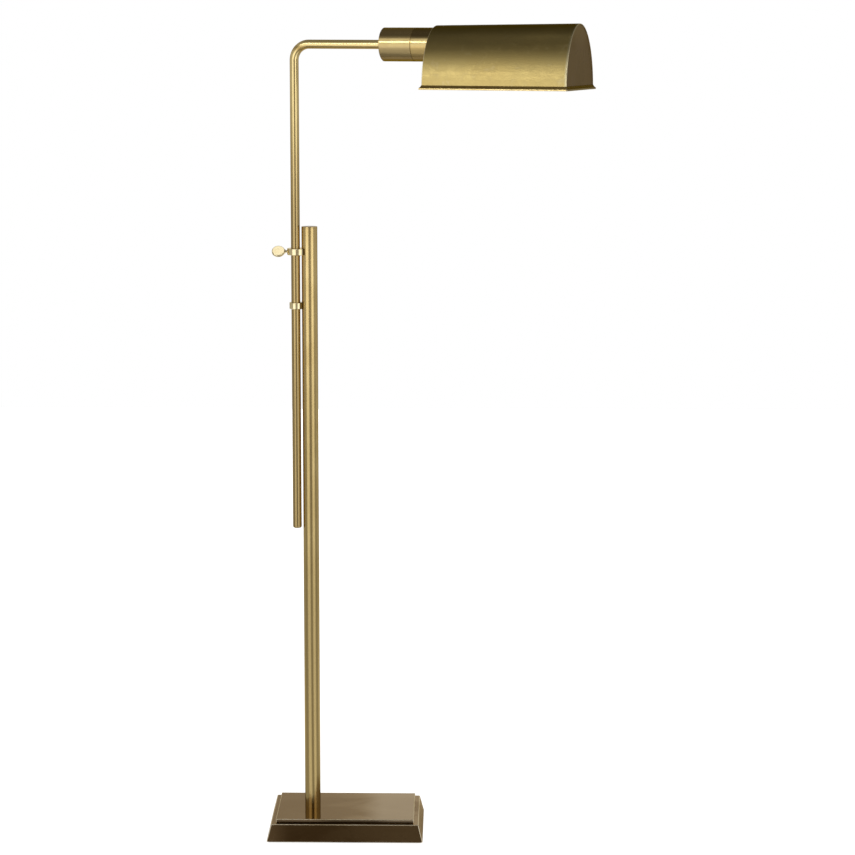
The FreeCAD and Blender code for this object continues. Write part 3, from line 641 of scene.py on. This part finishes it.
def rims(bm, station, radius, axis=ALONG_ARM):
    """The edges of the ring at a station and radius of a turned piece."""
    along = axis.index(1)
    others = [i for i in range(3) if i != along]

    def on_ring(vertex):
        shift = abs(vertex.co[along] - station)
        reach = math.hypot(*(vertex.co[i] for i in others))
        return shift < STATION_WITHIN and abs(reach - radius) < RADIUS_WITHIN

    return [edge for edge in bm.edges if all(on_ring(vertex) for vertex in edge.verts)]


def level_edges(bm, z):
    return [e for e in bm.edges if all(abs(v.co.z - z) < LEVEL_WITHIN for v in e.verts)]


def new_corners(made):
    return [g for g in made if isinstance(g, bmesh.types.BMVert)]


def new_edges(made):
    return [g for g in made if isinstance(g, bmesh.types.BMEdge)]


def cut_box(low, high, lean=0.0):
    """A block between two corners whose sides lean in by lean at the top."""
    bm = bmesh.new()
    bmesh.ops.create_cube(bm, size=1.0)
    size, middle = high - low, (high + low) / 2
    bmesh.ops.scale(bm, vec=size, verts=bm.verts)
    bmesh.ops.translate(bm, vec=middle, verts=bm.verts)
    for vertex in bm.verts:
        if vertex.co.z > middle.z:
            vertex.co.x -= math.copysign(lean, vertex.co.x)
            vertex.co.y -= math.copysign(lean, vertex.co.y)
    return bm


# Base
CASING_FLARE = 6.9 * MM
CORNER_ROUND = 1.1 * MM
EDGE_ROUND = 1.2 * MM
CASING_FOOT_ROUND = 0.45 * MM
SLAB_FOOT_ROUND = 0.15 * MM
# the rubbed edges carry a painted highlight, the flanks painted sheen, the front a painted highlight
PLAIN_SIDE, RUBBED_EDGE_HIGHLIGHT, SHEEN_FLANK, FRONT = range(4)  # a base step's materials


def upright_edges(bm):
    """The edges from the bottom of a step to its top."""
    return [e for e in bm.edges if abs(e.verts[0].co.z - e.verts[1].co.z) > EDGE_ROUND]


def base_step(name, node, bronze, lean, foot_round):
    """One step of the base, its corners and edges rubbed bright with a painted highlight, its flanks
    and front in copies of the bronze with painted sheen and highlight.
    """
    low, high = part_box(node)
    bm = cut_box(low, high, lean)
    bevel_edges(bm, upright_edges(bm), CORNER_ROUND, 4, RUBBED_EDGE_HIGHLIGHT)
    bevel_edges(bm, level_edges(bm, high.z), EDGE_ROUND, 4, RUBBED_EDGE_HIGHLIGHT)
    bevel_edges(bm, level_edges(bm, low.z), foot_round, 3, RUBBED_EDGE_HIGHLIGHT)
    bm.normal_update()
    leaning = [face for face in bm.faces if lean and face.material_index == PLAIN_SIDE]
    for face in leaning:
        if abs(face.normal.x) > 0.5:
            face.material_index = SHEEN_FLANK
        elif face.normal.y < -0.5:
            face.material_index = FRONT
    materials = [bronze, base_edge_wear_and_highlight, flank_bronze_painted_sheen, front_bronze_with_highlight]
    finish_piece(name, bm, node, "stand", "base_bronze", materials)


base_step("casing", "base_casing", base_bronze, CASING_FLARE, CASING_FOOT_ROUND)
base_step("slab", "base_slab", slab_bronze, 0.0, SLAB_FOOT_ROUND)

# Pole
pole_low, pole_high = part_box("pole")
cap_low, cap_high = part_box("pole_cap")
POLE_RADIUS = (pole_high.x - pole_low.x) / 2
POLE_X = (pole_high.x + pole_low.x) / 2
POLE_BORE = POLE_RADIUS - 1.2 * MM
SPIGOT_BORE = POLE_BORE - 1.5 * MM
CAP_ROUND = 0.7 * MM
SEAM_ROUND = 0.12 * MM  # where two pieces meet in a fine line


def on_pole(bm):
    bmesh.ops.translate(bm, vec=(POLE_X, 0, 0), verts=bm.verts)


def pole_tube():
    outline = [
        (pole_low.z, POLE_BORE),
        (pole_low.z, POLE_RADIUS),
        (pole_high.z, POLE_RADIUS),
        (pole_high.z, POLE_BORE),
    ]
    bm = turned(outline, UPRIGHT)
    bevel_edges(bm, rims(bm, pole_high.z, POLE_RADIUS, UPRIGHT), SEAM_ROUND, 2)
    on_pole(bm)
    return bm


def pole_top():
    """Flat cap on the pole, with a hollow spigot that fits its bore."""
    outline = [
        (cap_low.z, SPIGOT_BORE),
        (cap_low.z, POLE_BORE),
        (pole_high.z, POLE_BORE),
        (pole_high.z, POLE_RADIUS),
        (cap_high.z, POLE_RADIUS),
        (cap_high.z, 0),
        (pole_high.z, 0),
        (pole_high.z, SPIGOT_BORE),
    ]
    bm = turned(outline, UPRIGHT)
    bevel_edges(bm, rims(bm, cap_high.z, POLE_RADIUS, UPRIGHT), CAP_ROUND, 4)
    bevel_edges(bm, rims(bm, pole_high.z, POLE_RADIUS, UPRIGHT), SEAM_ROUND, 2)
    on_pole(bm)
    return bm


finish_piece("pole_tube", pole_tube(), "pole", "stand", "pole_brass", [pole_brass])
finish_piece("pole_top", pole_top(), "pole_cap", "stand", "pole_brass", [pole_brass])

# Rod and arm, one bent tube
rod_low, rod_high = arm_box("arm_tube")
BEND_RADIUS = 25.4 * MM
ROD_BORE = ROD_RADIUS - 1.0 * MM
TUBE_SIDES = 64
BEND_STEPS = 40


def bent_tube():
    """The rod's skin drawn up, swept round the bend and out along the arm, then given its wall."""
    bm = bmesh.new()
    bottom, bend_start = rod_low.z, -BEND_RADIUS
    loop = bmesh.ops.create_circle(bm, cap_ends=False, segments=TUBE_SIDES, radius=ROD_RADIUS)
    bmesh.ops.translate(bm, vec=(0, 0, bottom), verts=loop["verts"])

    def extrude(edges, shift):
        made = bmesh.ops.extrude_edge_only(bm, edges=edges)["geom"]
        bmesh.ops.translate(bm, vec=shift, verts=new_corners(made))
        return new_edges(made)

    moving = extrude(list(bm.edges), (0, 0, bend_start - bottom))
    swept = bmesh.ops.spin(
        bm,
        geom=moving + list({v for e in moving for v in e.verts}),
        cent=(BEND_RADIUS, 0, bend_start),
        axis=(0, 1, 0),
        angle=math.pi / 2,
        steps=BEND_STEPS,
    )["geom_last"]
    extrude(new_edges(swept), (rod_high.x - BEND_RADIUS, 0, 0))
    bmesh.ops.remove_doubles(bm, verts=bm.verts, dist=MERGE_WITHIN)

    def from_rod_axis(centre):
        return Vector((centre.x, centre.y, 0))

    face_outwards(bm, from_rod_axis, where=lambda centre: centre.z < bend_start)
    bmesh.ops.solidify(bm, geom=list(bm.faces), thickness=ROD_RADIUS - ROD_BORE)
    return bm


def unbent(point):
    """Where a point of the bent tube would be if the tube ran straight up."""
    own = ON_ARM.inverted() @ point
    bend_start = -BEND_RADIUS
    bend_end = bend_start + BEND_RADIUS * math.pi / 2
    if own.z < bend_start:
        return own
    if own.x > BEND_RADIUS:
        return Vector((-own.z, own.y, bend_end + own.x - BEND_RADIUS))
    out = Vector((own.x - BEND_RADIUS, 0, own.z - bend_start))
    turn = math.atan2(out.z, -out.x)
    return Vector((BEND_RADIUS - out.length, own.y, bend_start + BEND_RADIUS * turn))


# Cap on the rod's lower end
tip_low, tip_high = arm_box("rod_end_cap")
TIP_HOLE = 4.5 * MM
TIP_ROUND = 2.6 * MM


def rod_tip():
    outline = [
        (tip_low.z, TIP_HOLE),
        (tip_low.z, ROD_RADIUS),
        (rod_low.z, ROD_RADIUS),
        (rod_low.z, ROD_BORE),
        (tip_high.z, ROD_BORE),
        (tip_high.z, TIP_HOLE),
    ]
    bm = turned(outline, UPRIGHT)
    bevel_edges(bm, rims(bm, tip_low.z, ROD_RADIUS, UPRIGHT), TIP_ROUND, 6)
    bevel_edges(bm, rims(bm, rod_low.z, ROD_RADIUS, UPRIGHT), SEAM_ROUND, 2)
    return bm


ROD_FINISH = dict(body="arm", slot="rod_brass", materials=[rod_brass], on_arm=True, straight=unbent)
finish_piece("rod_and_arm", bent_tube(), "arm_tube", **ROD_FINISH)
finish_piece("rod_tip", rod_tip(), "rod_end_cap", **ROD_FINISH)

# Socket cup and neck
cup_low, cup_high = arm_box("socket_cup")
neck_low, neck_high = arm_box("shade_neck")
CUP_RADIUS = cup_high.z
CUP_BORE = CUP_RADIUS - 1.3 * MM
CUP_FLOOR = cup_low.x + 2.0 * MM
NIPPLE_HOLE = 4.85 * MM
CUP_SIDES = 128
CUP_BACK_ROUND = 0.8 * MM
CUP_RIM_ROUND = 0.5 * MM
NECK_ROUND = 0.4 * MM


def cup():
    outline = [
        (cup_low.x, NIPPLE_HOLE),
        (cup_low.x, CUP_RADIUS),
        (cup_high.x, CUP_RADIUS),
        (cup_high.x, CUP_BORE),
        (CUP_FLOOR, CUP_BORE),
        (CUP_FLOOR, NIPPLE_HOLE),
    ]
    bm = turned(outline, steps=CUP_SIDES)
    bevel_edges(bm, rims(bm, cup_low.x, CUP_RADIUS), CUP_BACK_ROUND, 5)
    bevel_edges(bm, rims(bm, cup_high.x, CUP_RADIUS), CUP_RIM_ROUND, 3)
    return bm


def neck():
    outline = [
        (neck_low.x, CUP_BORE),
        (neck_low.x, CUP_RADIUS),
        (neck_high.x, CUP_RADIUS),
        (neck_high.x, CUP_BORE),
    ]
    bm = turned(outline, steps=CUP_SIDES)
    bevel_edges(bm, rims(bm, neck_low.x, CUP_RADIUS), NECK_ROUND, 3)
    return bm


finish_piece("cup", cup(), "socket_cup", "arm", "aged_brass", [cup_brass], on_arm=True)
finish_piece("neck", neck(), "shade_neck", "shade", "aged_brass", [neck_brass], on_arm=True)

# Shade
shell_low, shell_high = arm_box("shade_shell")
SHADE_WALL = 1.2 * MM
SHELL_END_ROUND = 1.15 * MM
CROWN_INNER = 29.6 * MM  # the crown's height over the arm's axis at the neck's end
HEIGHT_INNER = CROWN_INNER - shell_low.z
HEIGHT_OUTER = shell_high.z - shell_low.z
SHELL_SIDES = 256  # of the whole ellipse, whose upper half is the shell
ON_ELLIPSE_WITHIN = 1e-3  # as a share of the ellipse's size
# the shell's ends take the rubbed brass with a painted highlight
OUTSIDE, INSIDE, SHELL_END_HIGHLIGHT = range(3)  # the shell's materials


def on_shell_end(edge):
    """Whether an edge runs round the outside of either end of the shell."""

    def on_end(vertex, station, height):
        across = vertex.co.y / shell_high.y
        up = (vertex.co.z - shell_low.z) / height
        is_there = abs(vertex.co.x - station) < LEVEL_WITHIN
        return is_there and abs(across**2 + up**2 - 1) < ON_ELLIPSE_WITHIN

    ends = ((shell_low.x, HEIGHT_INNER), (shell_high.x, HEIGHT_OUTER))
    return any(all(on_end(v, station, height) for v in edge.verts) for station, height in ends)


def shade_shell():
    """The half-round shell: a half ellipse drawn out along the arm, given its wall."""
    bm = bmesh.new()
    bmesh.ops.create_circle(bm, cap_ends=False, segments=SHELL_SIDES, radius=1.0)
    lower = [v for v in bm.verts if v.co.y < -LEVEL_WITHIN]
    bmesh.ops.delete(bm, geom=lower, context="VERTS")
    upright = Matrix(((0, 0, 1, 0), (1, 0, 0, 0), (0, 1, 0, 0), (0, 0, 0, 1)))
    bmesh.ops.transform(bm, matrix=upright, verts=bm.verts)
    bmesh.ops.scale(bm, vec=(1, shell_high.y, HEIGHT_INNER), verts=bm.verts)
    bmesh.ops.translate(bm, vec=(shell_low.x, 0, 0), verts=bm.verts)
    far = new_corners(bmesh.ops.extrude_edge_only(bm, edges=list(bm.edges))["geom"])
    bmesh.ops.scale(bm, vec=(1, 1, HEIGHT_OUTER / HEIGHT_INNER), verts=far)
    bmesh.ops.translate(bm, vec=(shell_high.x - shell_low.x, 0, 0), verts=far)
    bmesh.ops.translate(bm, vec=(0, 0, shell_low.z), verts=bm.verts)
    face_outwards(bm, lambda centre: Vector((0, centre.y, centre.z)))
    skin = set(bm.faces)
    bmesh.ops.solidify(bm, geom=list(bm.faces), thickness=SHADE_WALL)
    for face in bm.faces:
        faces_in = face.normal.dot(Vector((0, face.calc_center_median().y, 0))) < 0
        face.material_index = INSIDE if face not in skin and faces_in else OUTSIDE
    bevel_edges(bm, [e for e in bm.edges if on_shell_end(e)], SHELL_END_ROUND, 4, SHELL_END_HIGHLIGHT)
    return bm


SHELL_MATERIALS = [shade_brass, shade_inside, shade_end_wear_and_highlight_brass]
finish_piece("shade", shade_shell(), "shade_shell", "shade", "aged_brass", SHELL_MATERIALS, on_arm=True)

# Moulding round the shade's mouth
rim_low, rim_high = arm_box("shade_rim")
RIM_REACH = rim_high.y - shell_high.y  # how far it stands out from the shell
LEDGE = 2.6 * MM
NOSE_HEIGHT = 2.5 * MM
NOSE_ROUND = 0.45 * NOSE_HEIGHT
COVE_BOW = 0.45 * MM
# the cove's faces take the brass with painted shade
PLAIN_STRIP, SHADED_COVE_STRIP = range(2)  # the moulding's materials


def shade_moulding():
    """Mitred cove and nose: a rectangle stepped round the section, then rounded."""
    bm = bmesh.new()
    bottom, top = rim_low.z, rim_high.z
    nose_top = bottom + NOSE_HEIGHT
    cove = (RIM_REACH / 2 - COVE_BOW, (nose_top + top) / 2 - COVE_BOW)
    section = [
        (-LEDGE, bottom),
        (RIM_REACH, bottom),
        (RIM_REACH, nose_top),
        cove,
        (0, top),
        (0, nose_top),
        (-LEDGE, nose_top),
    ]
    half_length = (shell_high.x - shell_low.x) / 2
    half_width = shell_high.y
    corners = ((-1, -1), (1, -1), (1, 1), (-1, 1))
    loops = []
    for out, z in section:
        across, along = half_width + out, half_length + out
        ring = [bm.verts.new((i * along, j * across, z)) for i, j in corners]
        loops.append([bm.edges.new(pair) for pair in zip(ring, ring[1:] + ring[:1])])
    beside_cove = (section.index(cove) - 1, section.index(cove))
    for strip, (first, second) in enumerate(zip(loops, loops[1:] + loops[:1])):
        for face in bmesh.ops.bridge_loops(bm, edges=first + second)["faces"]:
            face.material_index = SHADED_COVE_STRIP if strip in beside_cove else PLAIN_STRIP
    bmesh.ops.translate(bm, vec=((shell_low.x + shell_high.x) / 2, 0, 0), verts=bm.verts)

    def on_nose(edge):
        is_level = abs(edge.verts[0].co.z - edge.verts[1].co.z) < MERGE_WITHIN
        outermost = half_width + RIM_REACH - LEVEL_WITHIN
        return is_level and all(abs(v.co.y) > outermost for v in edge.verts)

    bevel_edges(bm, [e for e in bm.edges if on_nose(e)], NOSE_ROUND, 5)
    return bm


RIM_MATERIALS = [moulding_brass, cove_shade_and_dark_seam_brass]
finish_piece(
    "shade_moulding", shade_moulding(), "shade_rim", "shade", "aged_brass", RIM_MATERIALS, on_arm=True
)

# Lamp
bulb_low, bulb_high = arm_box("bulb_envelope")
BULB_RADIUS = bulb_high.z
BULB_NECK = 12.2 * MM
BULB_SIDES = 64
NECK_END = bulb_high.x - 113 * MM
SHOULDER = NECK_END + 14 * MM
SHOULDER_ROUND = 6 * MM
BULB_END_ROUND = 0.98 * BULB_RADIUS


def lamp_bulb():
    outline = [
        (bulb_low.x, 0),
        (bulb_low.x, BULB_NECK),
        (NECK_END, BULB_NECK),
        (SHOULDER, BULB_RADIUS),
        (bulb_high.x, BULB_RADIUS),
        (bulb_high.x, 0),
    ]
    bm = turned(outline, steps=BULB_SIDES)
    bevel_edges(bm, rims(bm, NECK_END, BULB_NECK), SHOULDER_ROUND, 6)
    bevel_edges(bm, rims(bm, SHOULDER, BULB_RADIUS), SHOULDER_ROUND, 6)
    bevel_edges(bm, rims(bm, bulb_high.x, BULB_RADIUS), BULB_END_ROUND, 12)
    return bm


finish_piece(
    "lamp_bulb", lamp_bulb(), "bulb_envelope", "arm", "lamp_glass", [frosted], on_arm=True, sharp=60
)

# Finishes of the CAD nodes that are shown as they are
node_finishes = {
    "base_weight": cast_iron,
    "base_bottom_plate": steel,
    "base_felt": felt,
    "base_plate_screws": steel,
    "pole_plug": plain_brass,
    "pole_stud": steel,
    "pole_washer": steel,
    "pole_nut": steel,
    "upper_clamp": ring_brass,
    "lower_guide": guide_brass,
    "guide_liner": nylon,
    "clamp_pad": nylon,
    "thumb_screw": ring_brass,
    "cord_bushing": black_plastic,
    "arm_end_plug": plain_brass,
    "arm_nipple": steel,
    "cup_washer": steel,
    "cup_nut": steel,
    "socket_bracket": steel,
    "socket_screws": steel,
    "socket_body": glaze,
    "socket_shell": plain_brass,
    "socket_contact": plain_brass,
    "lamp_tip": plain_brass,
    "lamp_insulator": black_glass,
    "lamp_cap": plain_brass,
    # the seam washer between cup and neck, in the cove's darker brass
    "swivel_washer": cove_shade_and_dark_seam_brass,
    "swivel_sleeve": plain_brass,
    "snap_ring": steel,
    "friction_band": nylon,
    "shade_inner_end": plate_brass,
    "shade_outer_end": plate_brass,
}
for node, material in node_finishes.items():
    mesh = frame["nodes"][node].data
    mesh.materials.clear()
    mesh.materials.append(material)

# ------------------------------------------------------------------- studio

FLOOR_HALF_WIDTH = 5.0
FLOOR_FRONT = -4.5
FLOOR_BACK = 4.5
PLAIN_LEVEL = 0.85
LEFT = dict(turn=-33.5, distance=2.2, width=1.55)
LEFT_STRIP = dict(turn=-38, distance=2.0, width=1.3)
RIGHT = dict(turn=40, distance=2.4, width=1.45)
# Painted light on the floor, seen only by metal and glass: a glow paler from front to back,
# and darker away to either side, with a painted pale streak towards each softbox
LIT_SPAN = (0.0, 0.5)
LIT_LEVELS = (0.12, 0.80)
LIT_CENTRE = 0.1
LIT_WIDENING = 0.12
LIT_EDGE = (0.30, 1.2)
LEVEL_ASIDE = 0.3
STREAK_EDGE = (0.90, 0.97)
STREAK_LEVEL = 0.36
# The surroundings' levels, and where each begins and is full, by the direction's parts
WALL_LIGHT = (1.0, 1.0, 1.0)
SIDE_LIGHT = (0.46, 0.44, 0.41)
FRONT_LIGHT = (0.12, 0.096, 0.066)
FRONT_LOW_LIGHT = (0.38, 0.355, 0.32)
OVERHEAD_LIGHT = (0.20, 0.185, 0.16)
WALL_SIDES = (0.90, 0.985)
WALL_TOP = (0.15, 0.42)
FRONT_SIDES = (0.45, 0.90)
FRONT_LOW_EDGE = (-0.14, 0.10)
OVERHEAD_EDGE = (0.40, 0.85)


def side_direction(turn):
    """The level direction at an angle from the front, positive to the right."""
    return Vector((math.sin(math.radians(turn)), -math.cos(math.radians(turn)), 0))


def painted_floor_glow(tree):
    """The floor's painted glow, as metal and glass show it."""
    spot = object_place(tree)
    across, back = part_of(tree, spot, "X"), part_of(tree, spot, "Y")
    lit = remap(tree, back, *LIT_SPAN, *LIT_LEVELS)
    aside = combine(tree, "ABSOLUTE", combine(tree, "SUBTRACT", across, LIT_CENTRE))
    beyond = combine(tree, "SUBTRACT", aside, combine(tree, "MULTIPLY", back, LIT_WIDENING))
    lit = combine(tree, "MULTIPLY", lit, remap(tree, beyond, *LIT_EDGE, 1, LEVEL_ASIDE))
    away = add(tree, "ShaderNodeVectorMath", {0: spot}, operation="NORMALIZE").outputs[0]
    for box in (LEFT, RIGHT):
        inputs = {0: away, 1: side_direction(box["turn"])}
        towards = add(tree, "ShaderNodeVectorMath", inputs, operation="DOT_PRODUCT").outputs["Value"]
        lit = combine(tree, "ADD", lit, remap(tree, towards, *STREAK_EDGE, 0, STREAK_LEVEL))
    return lit


def floor_material():
    material, tree, shader = new_material("pale_floor")
    mottle = noise(tree, object_place(tree), scale=3)
    colour = blend_colour(tree, mottle, (0.70, 0.70, 0.70), (0.74, 0.74, 0.74))
    tree.links.new(colour, shader.inputs["Base Color"])
    shader.inputs["Roughness"].default_value = 0.15
    shader.inputs["IOR"].default_value = 2.2
    shader.inputs["Emission Color"].default_value = (1, 1, 1, 1)
    path = add(tree, "ShaderNodeLightPath").outputs
    mirrored = combine(tree, "MAXIMUM", path["Is Glossy Ray"], path["Is Transmission Ray"])
    mirrored = combine(tree, "MULTIPLY", painted_floor_glow(tree), mirrored)
    plainly = combine(tree, "MULTIPLY", path["Is Camera Ray"], PLAIN_LEVEL)
    level = combine(tree, "MAXIMUM", plainly, mirrored)
    tree.links.new(level, shader.inputs["Emission Strength"])
    return material


def studio_floor():
    bm = bmesh.new()
    bmesh.ops.create_grid(bm, x_segments=1, y_segments=1, size=1.0)
    bmesh.ops.scale(bm, vec=(FLOOR_HALF_WIDTH, (FLOOR_BACK - FLOOR_FRONT) / 2, 1), verts=bm.verts)
    bmesh.ops.translate(bm, vec=(0, (FLOOR_BACK + FLOOR_FRONT) / 2, 0), verts=bm.verts)
    mesh = bpy.data.meshes.new("floor")
    bm.to_mesh(mesh)
    bm.free()
    mesh.materials.append(floor_material())
    floor = bpy.data.objects.new("floor", mesh)
    bpy.context.scene.collection.objects.link(floor)


def studio_world():
    """Pale wall behind, mid grey at the sides, dim in front and overhead."""
    world = bpy.data.worlds.new("studio")
    bpy.context.scene.world = world
    world.use_nodes = True
    tree = world.node_tree
    tree.nodes.clear()
    direction = add(tree, "ShaderNodeTexCoord").outputs["Generated"]
    behind, up = part_of(tree, direction, "Y"), part_of(tree, direction, "Z")
    ahead = combine(tree, "MULTIPLY", behind, -1.0)
    below_top = remap(tree, up, *WALL_TOP, 1, 0)
    wall = combine(tree, "MULTIPLY", remap(tree, behind, *WALL_SIDES), below_top)
    level = blend_colour(tree, wall, SIDE_LIGHT, WALL_LIGHT)
    front = blend_colour(tree, remap(tree, up, *FRONT_LOW_EDGE), FRONT_LOW_LIGHT, FRONT_LIGHT)
    level = blend_colour(tree, remap(tree, ahead, *FRONT_SIDES), level, front)
    level = blend_colour(tree, remap(tree, up, *OVERHEAD_EDGE), level, OVERHEAD_LIGHT)
    straight_on = add(tree, "ShaderNodeLightPath").outputs["Is Camera Ray"]
    level = blend_colour(tree, straight_on, level, WALL_LIGHT)
    background = add(tree, "ShaderNodeBackground", {"Color": level, "Strength": 1.0})
    output = add(tree, "ShaderNodeOutputWorld")
    tree.links.new(background.outputs[0], output.inputs["Surface"])


def light_panel(name, width, height, radiance, place, rotation):
    """A flat rectangular light that looks equally bright all over."""
    light = bpy.data.lights.new(name, "AREA")
    light.shape = "RECTANGLE"
    light.size = width
    light.size_y = height
    light.energy = radiance * math.pi * width * height
    panel = bpy.data.objects.new(name, light)
    bpy.context.scene.collection.objects.link(panel)
    panel.location = place
    panel.rotation_euler = rotation


def softbox(name, low, high, radiance, turn, distance, width):
    """An upright panel at an angle from the front, positive to the right, facing the lamp."""
    place = side_direction(turn) * distance
    place.z = (low + high) / 2
    light_panel(name, width, high - low, radiance, place, (math.pi / 2, 0, math.radians(turn)))


# Each softbox in bands from the top down, and a bright strip in front of the left one
softboxes = [
    ("left_box_top", 2.05, 3.1, 0.44, LEFT),
    ("left_box_high", 1.62, 2.05, 0.16, LEFT),
    ("left_box", 1.15, 1.62, 0.76, LEFT),
    ("left_box_low", 0.45, 1.15, 0.95, LEFT),
    ("left_box_foot", 0.22, 0.45, 0.38, LEFT),
    ("left_box_edge", 0.0, 0.22, 0.55, LEFT),
    ("left_strip", 1.80, 1.93, 6.5, LEFT_STRIP),
    ("right_box", 0.45, 2.1, 0.95, RIGHT),
    ("right_box_foot", 0.22, 0.45, 0.38, RIGHT),
    ("right_box_edge", 0.0, 0.22, 0.5, RIGHT),
]
TOP_PANEL_PLACE = (ROD_X - 0.18, -0.2, 3.4)
TOP_PANEL_WIDTH = 0.4
TOP_PANEL_LEVEL = 0.95

studio_floor()
studio_world()
for name, low, high, radiance, place in softboxes:
    softbox(name, low, high, radiance, **place)
light_panel(
    "panel_above", TOP_PANEL_WIDTH, TOP_PANEL_WIDTH, TOP_PANEL_LEVEL, TOP_PANEL_PLACE, (0, 0, 0)
)

# Camera, a little to the right of the lamp and looking slightly down and to the left
EYE = (0.1796, -4.0, 1.3241)
TILT_DOWN = 8.88
TURN_LEFT = 1.06

camera = bpy.data.cameras.new("camera")
camera.sensor_width = 36
camera.lens = 105.5
camera.shift_x = 0.02
camera.shift_y = -0.02
camera.clip_end = 100
eye = bpy.data.objects.new("camera", camera)
bpy.context.scene.collection.objects.link(eye)
eye.location = EYE
eye.rotation_euler = (math.radians(90 - TILT_DOWN), 0, math.radians(TURN_LEFT))
bpy.context.scene.camera = eye
bpy.context.scene.view_settings.view_transform = "Standard"
